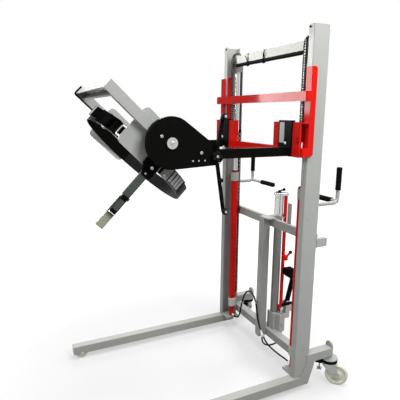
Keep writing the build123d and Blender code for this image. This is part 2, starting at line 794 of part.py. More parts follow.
# Cradle frame: two side plates joined by a square bail over the drum's back
bail_inner = drum_axis + band_outer + bail_clearance
bail_top = bail_inner + bail_thickness
bail_near = -bail_shift
bail_far = bail_width - bail_shift
with BuildPart(cradle) as cradle_frame:
    for side, sign in sides:
        block(sign * plate_inner_x, sign * plate_outer_x, plate_low, plate_high, -plate_back, plate_front)
    fillet(cradle_frame.edges().filter_by(Axis.X), plate_round)
    for side, sign in sides:
        block(sign * plate_outer_x, sign * (plate_outer_x + bail_tube), bail_start, bail_top, bail_near,
              bail_far)
        bar_x(sign * plate_inner_x, sign * plate_outer_x, 0, 0, pivot_radius, Mode.SUBTRACT)
    bail_half = plate_outer_x + bail_tube
    block(-bail_half, bail_half, bail_inner, bail_top, bail_near, bail_far)
    block(-bail_half + bail_wall, bail_half - bail_wall, bail_inner + bail_wall, bail_top - bail_wall,
          bail_near + bail_wall, bail_far, Mode.SUBTRACT)
keep(cradle_frame, "cradle_frame")

# Pivot shafts: the right one runs through the case and carries the large sprocket
sprocket_end_x = sprocket_x + sprocket_width
with BuildPart() as pivot_shafts:
    bar_x(plate_inner_x, case_face_x + pivot_head_thickness, pivot_y, pivot_height, pivot_radius)
    bar_x(sprocket_x, sprocket_end_x, pivot_y, pivot_height, big_sprocket_radius)
    bar_x(case_face_x + chain_slack, case_face_x + pivot_head_thickness, pivot_y, pivot_height,
          pivot_head_radius)
    bar_x(-plate_inner_x, -arm_outer_x - pivot_head_thickness, pivot_y, pivot_height, pivot_radius)
    bar_x(-arm_outer_x - chain_slack, -arm_outer_x - pivot_head_thickness, pivot_y, pivot_height,
          pivot_head_radius)
    for side, sign in sides:
        bar_x(sign * plate_outer_x, sign * (arm_inner_x - chain_slack), pivot_y, pivot_height,
              pivot_head_radius)
keep(pivot_shafts, "pivot_shafts")

# Clamp band: the fixed back half round the drum, with the ratchet's body and the square link on it
band_end = band_start + band_width
band_middle = band_start + band_width / 2
joint_level = drum_axis + band_joint
ratchet_pivot_r = band_outer + ratchet_height - 2 * ratchet_pin_radius


def round_band(angle, radius):
    """Place on the band, turned so that Y points outwards, at an angle from the bail towards +X."""
    swing = math.radians(angle)
    outwards = drum_axis + radius * math.cos(swing)
    return Location((radius * math.sin(swing), outwards, band_middle), (0, 0, -angle))


with BuildPart(cradle) as clamp_band:
    with BuildSketch(cradle.offset(band_start)):
        with Locations((0, drum_axis)):
            Circle(band_outer)
            Circle(band_inner, mode=Mode.SUBTRACT)
        with Locations((0, joint_level)):
            Rectangle(3 * band_outer, 3 * band_outer, align=(Align.CENTER, Align.MIN), mode=Mode.INTERSECT)
    extrude(amount=band_width)
    with Locations(round_band(ratchet_angle, band_outer - band_thickness / 2)):
        with Locations((0, ratchet_height / 2, -band_width / 2 + ratchet_side / 2),
                       (0, ratchet_height / 2, band_width / 2 - ratchet_side / 2)):
            Box(ratchet_length, ratchet_height, ratchet_side)
    with Locations(round_band(ratchet_angle, ratchet_pivot_r)):
        Cylinder(ratchet_pin_radius, band_width)
    with Locations(round_band(link_angle, band_outer + link_bar / 2 - 1)):
        Box(link_size, link_bar, link_size)
        Box(link_size - 2 * link_bar, 2 * link_bar, link_size - 2 * link_bar, mode=Mode.SUBTRACT)
    with Locations((0, drum_axis)):
        Cylinder(band_inner, 4 * band_end, mode=Mode.SUBTRACT)
keep(clamp_band, "clamp_band")

# Ratchet lever on the ratchet's pin
lever_half = band_width / 2 - ratchet_side - chain_slack
with BuildPart(cradle) as ratchet_lever:
    with Locations(round_band(ratchet_angle, ratchet_pivot_r)):
        Cylinder(2 * ratchet_pin_radius, 2 * lever_half)
        with Locations((-lever_length / 2, ratchet_pin_radius, 0)):
            Box(lever_length, lever_thickness, 2 * lever_half)
        Cylinder(ratchet_pin_radius + running_gap, 2 * band_width, mode=Mode.SUBTRACT)
keep(ratchet_lever, "ratchet_lever")

# Front strap: the half of the band that opens, with its buckle on the right
hook_low = hook_bar_offset - hook_bar_width / 2
hook_high = hook_bar_offset + hook_bar_width / 2
buckle_top = min(hook_low, plate_low, joint_level) - buckle_gap
with BuildPart(cradle) as front_strap:
    with BuildSketch(cradle.offset(band_start)):
        with Locations((0, drum_axis)):
            Circle(band_outer)
            Circle(band_inner, mode=Mode.SUBTRACT)
        with Locations((0, joint_level)):
            Rectangle(3 * band_outer, 3 * band_outer, align=(Align.CENTER, Align.MAX), mode=Mode.INTERSECT)
    extrude(amount=band_width)
    with BuildSketch(cradle.offset(band_start)):
        with Locations((0, drum_axis)):
            Circle(band_outer + buckle_thickness)
            Circle(band_outer, mode=Mode.SUBTRACT)
        with Locations((0, buckle_top)):
            Rectangle(3 * band_outer, buckle_height, align=(Align.MIN, Align.MAX), mode=Mode.INTERSECT)
    extrude(amount=band_width)
keep(front_strap, "front_strap")

# Rim hook: bar down the right side of the drum, with a catch under the drum's rim and lugs for its latch
hook_bar_x = plate_outer_x + hook_bar_thickness
latch_x = hook_bar_x + latch_height / 2
latch_lug = 4.0
with BuildPart(cradle) as rim_hook:
    block(plate_outer_x, hook_bar_x, hook_low, hook_high, hook_bar_start, drum_end + hook_bar_thickness)
    block(hook_bar_x - rim_catch_depth, hook_bar_x, hook_low, hook_high, drum_end,
          drum_end + hook_bar_thickness)
    for edge in (hook_low, hook_high - latch_lug):
        block(hook_bar_x, hook_bar_x + latch_height, edge, edge + latch_lug,
              latch_start - 2 * latch_pin_radius,
              latch_start + 2 * latch_pin_radius)
    bar_y(latch_x, hook_low, hook_high, latch_start, latch_pin_radius)
keep(rim_hook, "rim_hook")

# Rim latch: over-centre lever between the lugs of the rim hook
with BuildPart(cradle) as rim_latch:
    latch_low = hook_low + latch_lug + chain_slack
    latch_high = hook_high - latch_lug - chain_slack
    block(hook_bar_x + chain_slack, hook_bar_x + latch_height - chain_slack, latch_low, latch_high,
          latch_start, latch_start + latch_length)
    latch_edges = rim_latch.edges().filter_by(Axis((0, 0, 0), cradle.y_dir))
    fillet(latch_edges.sort_by(Axis((0, 0, 0), cradle.z_dir))[-2:], latch_height / 3)
    bar_y(latch_x, latch_low, latch_high, latch_start, latch_height / 2 - chain_slack)
    bar_y(latch_x, latch_low, latch_high, latch_start, latch_pin_radius + running_gap, Mode.SUBTRACT)
keep(rim_latch, "rim_latch")

# Crank: shaft with the small sprocket, hub and two bars, each with a pin for its knob
hub_x = case_step_x + chain_slack
crank_x = hub_x + crank_hub_length
with BuildPart() as crank:
    bar_x(arm_inner_x, crank_x, crank_y, crank_height, crank_shaft_radius)
    bar_x(sprocket_x, sprocket_end_x, crank_y, crank_height, small_sprocket_radius)
    bar_x(hub_x, crank_x, crank_y, crank_height, crank_hub_radius)
    for knob_y, knob_z in (crank_up, crank_down):
        with BuildSketch(side_plane(crank_x - crank_bar_thickness)):
            with Locations((crank_y + knob_y / 2, crank_height + knob_z / 2)):
                SlotCenterToCenter(math.hypot(knob_y, knob_z), crank_bar_width,
                                   rotation=math.degrees(math.atan2(knob_z, knob_y)))
        extrude(amount=crank_bar_thickness)
        bar_x(crank_x, crank_x + knob_length, crank_y + knob_y, crank_height + knob_z, knob_pin_radius)
keep(crank, "crank")

# Crank knobs: round grips that spin on the crank's pins
for name, (knob_y, knob_z) in (("upper", crank_up), ("lower", crank_down)):
    with BuildPart() as crank_knob:
        bar_x(crank_x + chain_slack, crank_x + knob_length, crank_y + knob_y, crank_height + knob_z,
              knob_radius)
        fillet(crank_knob.edges().filter_by(GeomType.CIRCLE), knob_radius / 4)
        bar_x(crank_x, crank_x + knob_length, crank_y + knob_y, crank_height + knob_z,
              knob_pin_radius + running_gap, Mode.SUBTRACT)
    keep(crank_knob, f"crank_knob_{name}")

# Caster top plates: discs under the rear bars with the swivel races and kingpins
plate_z = rear_bar_bottom - top_plate_thickness
race_z = plate_z - race_height
fork_top = race_z - swivel_gap
fork_head_bottom = fork_top - fork_head_height
kingpin_end = fork_head_bottom - fork_plate
with BuildPart() as caster_top_plates:
    for side, sign in sides:
        bar_z(sign * caster_x, caster_y, plate_z, rear_bar_bottom, top_plate_radius)
        bar_z(sign * caster_x, caster_y, race_z, plate_z, race_radius)
        bar_z(sign * caster_x, caster_y, fork_head_bottom - swivel_gap, race_z, kingpin_radius)
        bar_z(sign * caster_x, caster_y, kingpin_end - swivel_gap, fork_head_bottom - swivel_gap,
              1.4 * kingpin_radius)
keep(caster_top_plates, "caster_top_plates")

# Swivel forks with their axle bolts, the wheels and the brake pedals, turned outwards and back
fork_inner = wheel_width / 2 + fork_side_gap
fork_outer = fork_inner + fork_plate
for side, sign in sides:
    swivel = Plane(
        origin=(sign * caster_x, caster_y, 0), x_dir=(sign * math.cos(turn), math.sin(turn), 0), z_dir=(0,
                                                                                                        0, 1)
    )
    with BuildPart(swivel) as caster_fork:
        bar_z(0, 0, fork_head_bottom, fork_top, race_radius)
        for edge in (-1, 1):
            fork_plane = swivel * Plane(
                origin=(0, edge * (fork_inner + fork_outer) / 2, 0), x_dir=(1, 0, 0), z_dir=(0, -1, 0)
            )
            with BuildSketch(fork_plane):
                with Locations((0, fork_head_bottom + fork_plate)):
                    Rectangle(2 * fork_reach, 2 * brake_pin_radius + fork_head_height,
                              align=(Align.CENTER, Align.MAX))
                with Locations((trail, wheel_radius)):
                    Circle(2 * axle_radius)
                make_hull()
            extrude(amount=fork_plate / 2, both=True)
        bar_z(0, 0, kingpin_end - 2 * fork_plate, fork_top, kingpin_radius + running_gap, Mode.SUBTRACT)
        bar_y(trail, -fork_outer - axle_cap, fork_outer + axle_cap, wheel_radius, axle_radius)
        for edge in (-1, 1):
            bar_y(trail, edge * fork_outer, edge * (fork_outer + axle_cap), wheel_radius, axle_cap_radius)
        bar_y(brake_pin_x, -fork_outer, fork_outer, brake_height, brake_pin_radius + running_gap,
              Mode.SUBTRACT)
    keep(caster_fork, f"caster_fork_{side}")

    with BuildPart(swivel) as caster_wheel:
        bar_y(trail, -wheel_width / 2, wheel_width / 2, wheel_radius, wheel_radius)
        fillet(caster_wheel.edges().filter_by(GeomType.CIRCLE), wheel_round)
        hub_reach = fork_inner - swivel_gap
        bar_y(trail, -hub_reach, hub_reach, wheel_radius, 3 * axle_radius)
        bar_y(trail, -fork_outer, fork_outer, wheel_radius, axle_radius + running_gap, Mode.SUBTRACT)
    keep(caster_wheel, f"caster_wheel_{side}")

    with BuildPart(swivel) as caster_brake:
        bar_y(brake_pin_x, -fork_outer, fork_outer, brake_height, brake_pin_radius)
        block(brake_pin_x - brake_length, brake_pin_x, -fork_inner + fork_side_gap,
              fork_inner - fork_side_gap,
              brake_height - brake_thickness / 2, brake_height + brake_thickness / 2)
    keep(caster_brake, f"caster_brake_{side}")

# Pump base: valve block on the lower beam, with the plunger's barrel and the pedal's ears
base_bottom = lower_beam_top
base_top = base_bottom + base_height
release_bottom = base_top
base_front = pump_y - base_depth / 2
base_back = pump_y + base_depth / 2
lever_gap = lever_pin_radius + 2 * chain_slack
cable_x = release_x - lever_gap - lever_pin_radius
cable_y = release_y + release_radius + 2 * cable_radius
pedal_y = mast_y + pedal_behind
plunger_y = mast_y + plunger_behind
boss_half = 2.6 * plunger_radius
ear_inner = pedal_arm_width / 2 + chain_slack
ear_outer = ear_inner + pedal_ear
with BuildPart() as pump_base:
    block(pump_x - base_width / 2, pump_x + base_width / 2, base_front, base_back, base_bottom, base_top)
    block(pump_x, pedal_x + boss_half, plunger_y - boss_half, plunger_y + boss_half, base_bottom, base_top)
    block(release_x - 2 * release_radius, release_x + release_radius, base_front,
          cable_y + 2 * cable_radius,
          release_bottom - 2 * release_radius, release_bottom)
    for edge in (-1, 1):
        ear = (pedal_x + edge * ear_inner, pedal_x + edge * ear_outer)
        block(*ear, plunger_y, pedal_y + 2 * pedal_pin_radius, base_top - 3 * pedal_ear,
              base_top + pedal_ear)
        block(*ear, pedal_y - 2 * pedal_pin_radius, pedal_y + 2 * pedal_pin_radius, base_top, pedal_height)
        bar_x(*ear, pedal_y, pedal_height, 2 * pedal_pin_radius)
    bar_x(pedal_x - ear_outer, pedal_x + ear_outer, pedal_y, pedal_height, pedal_pin_radius + running_gap,
          Mode.SUBTRACT)
    bar_z(pedal_x, plunger_y, plunger_bottom - 2 * plunger_radius, base_top + pedal_ear,
          plunger_radius + running_gap, Mode.SUBTRACT)
keep(pump_base, "pump_base")

# Pump tube: the oil tank that stands on the base and passes behind the middle beam
with BuildPart() as pump_tube:
    bar_z(pump_x, pump_y, base_top, tube_top, pump_radius)
keep(pump_tube, "pump_tube")

# Pump head: polished body with an oval cap that also holds the release rod
head_top = tube_top + head_height
with BuildPart() as pump_head:
    bar_z(pump_x, pump_y, tube_top, head_top, head_radius)
    with BuildSketch(Plane.XY.offset(head_top)):
        with Locations((pump_x, pump_y)):
            Circle(head_radius + cap_margin)
        with Locations((release_x, release_y)):
            Circle(release_radius + cap_margin)
        make_hull()
    extrude(amount=cap_thickness)
    fillet(pump_head.faces().sort_by(Axis.Z)[-1].edges(), cap_margin / 2)
keep(pump_head, "pump_head")

# Release rod: red bar beside the pump, with the ears of the release lever
lever_y = mast_y + lever_pin_behind
with BuildPart() as release_rod:
    bar_z(release_x, release_y, release_bottom, head_top, release_radius)
    for edge in (-1, 1):
        block(release_x + edge * lever_gap, release_x + edge * (lever_gap + 2 * lever_pin_radius),
              release_y,
              lever_y + 2 * lever_pin_radius, lever_height - lever_ear / 2, lever_height + lever_ear / 2)
    bar_x(release_x - lever_ear, release_x + lever_ear, lever_y, lever_height,
          lever_pin_radius + running_gap,
          Mode.SUBTRACT)
keep(release_rod, "release_rod")

# Release lever: flat lever on a pin between the rod's ears, with a ball knob
knob_out, knob_up = lever_rise
with BuildPart() as release_lever:
    bar_x(release_x - lever_gap - 2 * lever_pin_radius, release_x + lever_gap + 2 * lever_pin_radius,
          lever_y,
          lever_height, lever_pin_radius)
    with BuildSketch(side_plane(release_x)):
        with Locations((lever_y, lever_height)):
            Circle(2 * lever_pin_radius)
        with Locations((lever_y + knob_out, lever_height + knob_up)):
            Circle(lever_pin_radius)
        make_hull()
    extrude(amount=lever_pin_radius, both=True)
    with Locations((release_x, lever_y + knob_out, lever_height + knob_up)):
        Sphere(lever_knob_radius)
keep(release_lever, "release_lever")

# Release cable: straight inner cable from the lever's ears to the valve block
cable_top = lever_height - lever_ear / 2
with BuildPart() as release_cable:
    bar_z(cable_x, cable_y, release_bottom, cable_top, cable_radius)
keep(release_cable, "release_cable")

# Foot pedal: forged arm with a tilted pad, on a pin between the base's ears
pad_y, pad_z = pedal_top
with BuildPart() as foot_pedal:
    bar_x(pedal_x - ear_outer, pedal_x + ear_outer, pedal_y, pedal_height, pedal_pin_radius)
    bar_x(pedal_x - pedal_arm_width / 2, pedal_x + pedal_arm_width / 2, pedal_y, pedal_height,
          2 * pedal_pin_radius)
    with BuildSketch(side_plane(pedal_x)):
        with Locations((pedal_y, pedal_height)):
            Circle(pedal_arm_depth / 2)
        with Locations((pedal_y + pad_y, pedal_height + pad_z - pedal_pad_height / 2)):
            Circle(pedal_arm_depth / 2)
        make_hull()
    extrude(amount=pedal_arm_width / 2, both=True)
    pad_bottom = pedal_height + pad_z - pedal_pad_height
    block(pedal_x - pedal_pad_width / 2, pedal_x + pedal_pad_width / 2,
          pedal_y + pad_y - pedal_pad_depth / 2,
          pedal_y + pad_y + pedal_pad_depth / 2, pad_bottom, pad_bottom + pedal_pad_height)
    fillet(foot_pedal.faces().sort_by(Axis.Z)[-1].edges(), pedal_pad_depth / 4)
keep(foot_pedal, "foot_pedal")

# Pump plunger: steel piston in the base's barrel
with BuildPart() as pump_plunger:
    bar_z(pedal_x, plunger_y, plunger_bottom, plunger_top, plunger_radius)
    bar_x(pedal_x - plunger_radius, pedal_x + plunger_radius, plunger_y, plunger_top, 1.4 * plunger_radius)
keep(pump_plunger, "pump_plunger")

# Small lever on the pump head's cap, with a ball at its end
cap_top = head_top + cap_thickness
with BuildPart() as top_lever:
    bar_z(pump_x, pump_y, cap_top + chain_slack, cap_top + 3 * top_lever_radius, 2 * top_lever_radius)
    with Locations(Location((pump_x, pump_y, cap_top + 2 * top_lever_radius), (0, 70, 50))):
        Cylinder(top_lever_radius, top_lever_length, align=(Align.CENTER, Align.CENTER, Align.MIN))
        with Locations((0, 0, top_lever_length)):
            Sphere(top_ball_radius)
keep(top_lever, "top_lever")

# Hoses: routes from the tee to both cylinder feet and to the pump, each between two ferrules
foot_face = cylinder_x - foot_radius
foot_hose_z = foot_plate_top + ferrule_radius + 4
foot_hose_x = foot_face - ferrule_length
tee_y = post_front - tee_radius - 5
tee_x = 62.0
tee_z = 158.0
tee_half = 22.0
tee_drop = math.radians(42.0)
tee_out = math.cos(tee_drop)
tee_down = math.sin(tee_drop)
tee_run = tee_half + 26
port_bottom = tee_z - ferrule_length - 2
base_port_x = pedal_x + 4
base_port_y = base_back - ferrule_radius - 4
base_port_z = base_bottom - ferrule_length
hose_points = {
    "hose_left": (
        (-foot_hose_x, cylinder_y, foot_hose_z),
        (-foot_hose_x + 30, cylinder_y, foot_hose_z),
        (-foot_hose_x + 58, mast_y + 5, foot_hose_z + 17),
        (-foot_hose_x + 74, mast_y + 6, foot_hose_z + 55),
        (-224, mast_y + 5, 212),
        (-206, mast_y + 4, 266),
        (-178, mast_y + 2, 322),
        (-140, mast_y - 1, 362),
        (-92, mast_y - 4, 374),
        (-48, mast_y - 7, 360),
        (-20, mast_y - 10, 324),
        (-6, tee_y + 1, 274),
        (11, tee_y, 226),
        (tee_x - tee_out * tee_run, tee_y, tee_z + tee_down * tee_run),
        (tee_x - tee_out * tee_half, tee_y, tee_z + tee_down * tee_half),
    ),
    "hose_right": (
        (tee_x + tee_out * tee_half, tee_y, tee_z - tee_down * tee_half),
        (tee_x + tee_out * tee_run, tee_y, tee_z - tee_down * tee_run),
        (132, tee_y + 2, 112),
        (182, tee_y + 6, 106),
        (234, cylinder_y - 5, 103),
        (foot_hose_x - 32, cylinder_y, foot_hose_z),
        (foot_hose_x, cylinder_y, foot_hose_z),
    ),
    "hose_pump": (
        (tee_x, tee_y, port_bottom),
        (tee_x, tee_y, port_bottom - 25),
        (tee_x + 3, tee_y + 15, port_bottom - 50),
        (tee_x + 8, tee_y + 40, port_bottom - 64),
        (tee_x + 14, tee_y + 88, port_bottom - 63),
        (base_port_x - 4, base_port_y - 15, base_port_z - 52),
        (base_port_x, base_port_y, base_port_z - 26),
        (base_port_x, base_port_y, base_port_z),
    ),
}


def bend_radii(points):
    """Radius of each bend: 0.45 of the shorter run beside it over the tangent of half its turn."""
    spots = [Vector(*point) for point in points]
    runs = [after - before for before, after in zip(spots, spots[1:])]
    radii = []
    for run, following in zip(runs, runs[1:]):
        half_turn = math.radians(run.get_angle(following) / 2)
        radii.append(0.45 * min(run.length, following.length) / math.tan(half_turn))
    return radii


for name, points in hose_points.items():
    radii = bend_radii(points)
    with BuildPart() as hose:
        with BuildLine() as route:
            FilletPolyline(*points, radius=radii)
        hose_path = route.wires()[0]
        with BuildSketch(Plane(origin=hose_path @ 0, z_dir=hose_path % 0)):
            Circle(hose_radius)
        sweep(path=hose_path)
    tube_volume = math.pi * hose_radius**2 * hose_path.length
    print(name, "length", round(hose_path.length, 1), "volume share",
          round(hose.part.volume / tube_volume, 4),
          "radii", [round(radius) for radius in radii])
    keep(hose, name)

# Hose fittings: the tee between the hoses and the ferrules at the cylinder feet and the pump
tee_axis = Plane(origin=(tee_x, tee_y, tee_z), x_dir=(0, 1, 0),
                 z_dir=(math.cos(tee_drop), 0, -math.sin(tee_drop)))
with BuildPart() as hose_fittings:
    for side, sign in sides:
        bar_x(sign * foot_face, sign * foot_hose_x, cylinder_y, foot_hose_z, ferrule_radius)
    with Locations(tee_axis.location):
        Cylinder(tee_radius, 2 * tee_half)
    bar_z(tee_x, tee_y, port_bottom, tee_z, ferrule_radius)
    bar_z(base_port_x, base_port_y, base_port_z, base_bottom, ferrule_radius)
keep(hose_fittings, "hose_fittings")
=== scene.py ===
import json
import math

import bmesh
import bpy
import numpy as np
from mathutils import Matrix, Vector


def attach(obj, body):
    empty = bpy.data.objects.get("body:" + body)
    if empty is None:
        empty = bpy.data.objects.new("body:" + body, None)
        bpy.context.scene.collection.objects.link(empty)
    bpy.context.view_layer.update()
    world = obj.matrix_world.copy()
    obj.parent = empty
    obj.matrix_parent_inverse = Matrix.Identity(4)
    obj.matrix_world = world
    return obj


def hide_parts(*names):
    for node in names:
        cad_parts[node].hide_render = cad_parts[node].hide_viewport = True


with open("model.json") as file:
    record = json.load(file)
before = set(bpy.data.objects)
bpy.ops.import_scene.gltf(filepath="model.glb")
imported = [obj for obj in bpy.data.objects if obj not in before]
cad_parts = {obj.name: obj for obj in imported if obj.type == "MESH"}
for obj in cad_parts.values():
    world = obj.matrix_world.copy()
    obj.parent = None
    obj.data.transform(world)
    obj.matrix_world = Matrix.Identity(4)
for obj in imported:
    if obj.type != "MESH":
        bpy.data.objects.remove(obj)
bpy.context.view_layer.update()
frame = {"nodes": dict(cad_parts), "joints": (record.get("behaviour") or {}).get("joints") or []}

# --- Legs: two low square tubes, cranked up behind the mast into the bars over the casters.
# Welded steel in light grey enamel, with dust near the floor and a fine orange peel.


class Link:
    """One output socket of a finish. Arithmetic on links adds Math nodes, also with the number first."""

    def __init__(self, finish, socket):
        self.finish, self.socket = finish, socket

    def math(self, operation, *values):
        return self.finish.node("Math", {"operation": operation}, dict(enumerate(values)))

    def __add__(self, other):
        return self.math("ADD", self, other)

    def __sub__(self, other):
        return self.math("SUBTRACT", self, other)

    def __rsub__(self, other):
        return self.math("SUBTRACT", other, self)

    def __mul__(self, other):
        return self.math("MULTIPLY", self, other)

    def __pow__(self, other):
        return self.math("POWER", self, other)

    __radd__, __rmul__ = __add__, __mul__


class Finish:
    """A material under way: its constant sockets are set at once, and its nodes are added with node()."""

    def __init__(self, name, constants):
        self.material = bpy.data.materials.new(name)
        self.material.use_nodes = True
        self.tree = self.material.node_tree
        self.shader = self.tree.nodes["Principled BSDF"]
        for socket, value in constants.items():
            self.shader.inputs[socket].default_value = value
        self.place = self.node("TexCoord", {}, {}, "Object")

    def node(self, kind, settings, sockets, output=0):
        """Add a node of a kind, then its settings, then its sockets from numbers, colours or links."""
        made = self.tree.nodes.new("ShaderNode" + kind)
        for setting, value in settings.items():
            setattr(made, setting, value)
        for socket, value in sockets.items():
            if isinstance(value, Link):
                self.tree.links.new(value.socket, made.inputs[socket])
            else:
                made.inputs[socket].default_value = value
        return Link(self, made.outputs[output])

    def noise(self, scale, detail=3.0, stretch=None, rough=0.5):
        """Cloudy value from 0 to 1, at a scale per metre, stretched per axis where it's asked for."""
        at = self.place
        if stretch is not None:
            at = self.node("Mapping", {}, {"Vector": at, "Scale": stretch})
        return self.node("TexNoise", {}, {"Vector": at, "Scale": scale, "Detail": detail, "Roughness": rough})

    def step(self, value, low, high):
        """Smooth rise from 0 at low to 1 at high, or a fall where low is the larger."""
        return self.node("MapRange", {"interpolation_type": "SMOOTHSTEP"},
                         {"Value": value, "From Min": low, "From Max": high})

    def mix(self, share, first, second):
        """Colour between two colours or colour links."""
        return self.node("Mix", {"data_type": "RGBA"}, {0: share, 6: first, 7: second}, 2)

    def height(self):
        """Height of the place over the floor."""
        return self.node("SeparateXYZ", {}, {"Vector": self.place}, 2)

    def feed(self, colour, roughness, relief, depth, coat=None):
        """Link colour, roughness and relief, a height in 0 to 1 that stands depth metres, to the shader."""
        bump = self.node("Bump", {}, {"Height": relief, "Distance": depth, "Strength": 1.0})
        pairs = [("Base Color", colour), ("Roughness", roughness), ("Normal", bump), ("Coat Weight", coat)]
        for socket, value in pairs:
            if value is not None:
                self.tree.links.new(value.socket, self.shader.inputs[socket])
        return self.material


def scaled(colour, factor, lift=0.0):
    """Colour times a factor plus a lift, with full alpha."""
    return tuple(min(1.0, channel * factor + lift) for channel in colour[:3]) + (1,)


def enamel(name, colour, dust, gloss, peel=0.0001, coat=0.35, level=0.5, second=None):
    """Sprayed enamel: orange peel at 450 per metre, cloudy tone, long faint scuffs, dust near the floor.

    The second colour, where there is one, is a function of the finish that gives its share and the colour.
    """
    paint = Finish(name, {"IOR": 1.5, "Coat Roughness": 0.12, "Specular IOR Level": level})
    tone = paint.noise(5.0, 4.0)
    grime = paint.step(paint.noise(14.0, 6.0, rough=0.65), 0.55, 0.78)
    scuffs = paint.step(paint.noise(9.0, 8.0, (16.0, 16.0, 1.6), 0.7), 0.62, 0.74)
    low = paint.step(paint.height(), 0.3, 0.02)
    soiled = (grime * 0.3 + low * 0.22) * (0.35 + tone)
    shade = paint.mix(tone, scaled(colour, 0.93), scaled(colour, 1.05))
    if second is not None:
        share, other = second(paint)
        shade = paint.mix(share, shade, other)
    shade = paint.mix(soiled, shade, dust)
    shade = paint.mix(scuffs * 0.1, shade, scaled(colour, 1.1, 0.025))
    skin = paint.noise(450.0, 2.0)
    rough = gloss + grime * 0.16 + scuffs * 0.1 + skin * 0.05
    return paint.feed(shade, rough, skin + grime * 0.25, peel, coat=coat - soiled * coat * 0.8)


def dress(material, *nodes):
    """Give CAD nodes a finish, in their own material slot."""
    for node in nodes:
        frame["nodes"][node].material_slots[0].material = material


grey_enamel = enamel("grey_enamel", (0.36, 0.368, 0.352), (0.2, 0.18, 0.155, 1), gloss=0.38, peel=0.000004,
                     coat=0.05, level=0.22)
dress(grey_enamel, "leg_left", "leg_right")

# --- Front rollers: cream nylon rollers in the noses of the legs, on zinc plated pins that turn with them.
# The tread is crowned and has two shallow grooves; the pins' heads lie on the outside of the legs.
hands = (("left", -1), ("right", 1))
right, back, up = np.eye(3)
joint_at = {joint["name"]: np.array(joint["pos_m"], float) for joint in frame["joints"] if "pos_m" in joint}


def grid(points):
    """Surface from rows of points, each row a ring.

    Cell (i, j) joins (i, j), (i, j+1), (i+1, j+1) and (i+1, j), with j going round.
    """
    rows, columns = points.shape[:2]
    i, j = np.meshgrid(np.arange(rows - 1), np.arange(columns), indexing="ij")
    k = (j + 1) % columns
    cells = np.stack([i * columns + j, i * columns + k, (i + 1) * columns + k, (i + 1) * columns + j], -1)
    return points.reshape(-1, 3), [cells.reshape(-1, 4)]


def turned(profile, base, axis, around=28, solid=True):
    """Body of revolution: a profile pair (a, r) becomes the ring base + a d + r (u cos t + w sin t).

    A solid's profile that doesn't end where it starts is closed on the axis at both ends.
    """
    if solid and profile[0] != profile[-1]:
        profile = [(profile[0][0], 0), *profile, (profile[-1][0], 0)]
    d = np.array(axis, float) / np.linalg.norm(axis)
    u = np.cross(d, right if abs(d[2]) > 0.9 else up)
    u /= np.linalg.norm(u)
    t = np.linspace(0, 2 * np.pi, around, endpoint=False)[:, None]
    a, r = np.array(profile, float).T[:, :, None, None]
    return grid(np.array(base, float) + a * d + r * (np.cos(t) * u + np.sin(t) * np.cross(d, u)))


def added(name, data):
    """Object of its data, linked to the scene."""
    made = bpy.data.objects.new(name, data)
    bpy.context.scene.collection.objects.link(made)
    return made


def piece(name, shapes, material, body, hides=(), angle=40.0):
    """Join shapes, each of points and face groups, into one object in place, and fix it to a body.

    Doubled points at seams and poles are merged, faces turn outwards, and edges over the angle stay hard.
    """
    starts = np.cumsum([0] + [len(points) for points, groups in shapes])
    faces = [face for (points, groups), start in zip(shapes, starts)
             for group in groups for face in (group + start).tolist()]
    mesh = bpy.data.meshes.new(name)
    mesh.from_pydata(np.concatenate([points for points, groups in shapes]).tolist(), [], faces)
    shell = bmesh.new()
    shell.from_mesh(mesh)
    bmesh.ops.remove_doubles(shell, verts=shell.verts, dist=1e-6)
    bmesh.ops.recalc_face_normals(shell, faces=shell.faces)
    shell.to_mesh(mesh)
    shell.free()
    mesh.shade_smooth()
    mesh.set_sharp_from_angle(angle=math.radians(angle))
    mesh.materials.append(material)
    made = added(name, mesh)
    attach(made, body)
    if hides:
        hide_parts(*hides)


def nylon(name, colour):
    """Cast nylon: slightly translucent, cloudy tone, fine specks and grey floor dirt."""
    cast = Finish(name, {"IOR": 1.53, "Subsurface Weight": 0.12, "Subsurface Radius": (0.004, 0.003, 0.002)})
    tone = cast.noise(22.0, 4.0)
    dirt = cast.step(cast.noise(60.0, 7.0, rough=0.7), 0.5, 0.72)
    shade = cast.mix(tone, scaled(colour, 0.92), scaled(colour, 1.04))
    soiled = dirt * (0.28 + cast.step(cast.height(), 0.06, 0.0) * 0.3)
    shade = cast.mix(soiled, shade, (0.27, 0.23, 0.17, 1))
    marks = cast.noise(700.0, 2.0)
    return cast.feed(shade, 0.38 + dirt * 0.25 + marks * 0.06, marks + dirt * 0.5, 0.00008)


def plated(name, colour, gloss, blotch=0.12, edge=0.55):
    """Plated steel: metallic, blotched at two scales, with a fine grain and a tint towards its outline."""
    metal = Finish(name, {"Metallic": 1.0, "Specular Tint": (edge, edge, edge, 1)})
    tone = metal.noise(30.0, 5.0, rough=0.6)
    spots = metal.step(metal.noise(150.0, 4.0), 0.52, 0.75)
    lines = metal.noise(120.0, 3.0)
    shade = metal.mix(tone, scaled(colour, 1 - blotch), scaled(colour, 1 + blotch))
    shade = metal.mix(spots * 0.22, shade, scaled(colour, 0.55))
    return metal.feed(shade, gloss + spots * 0.14 + lines * 0.14, lines + spots * 0.3, 0.00005)


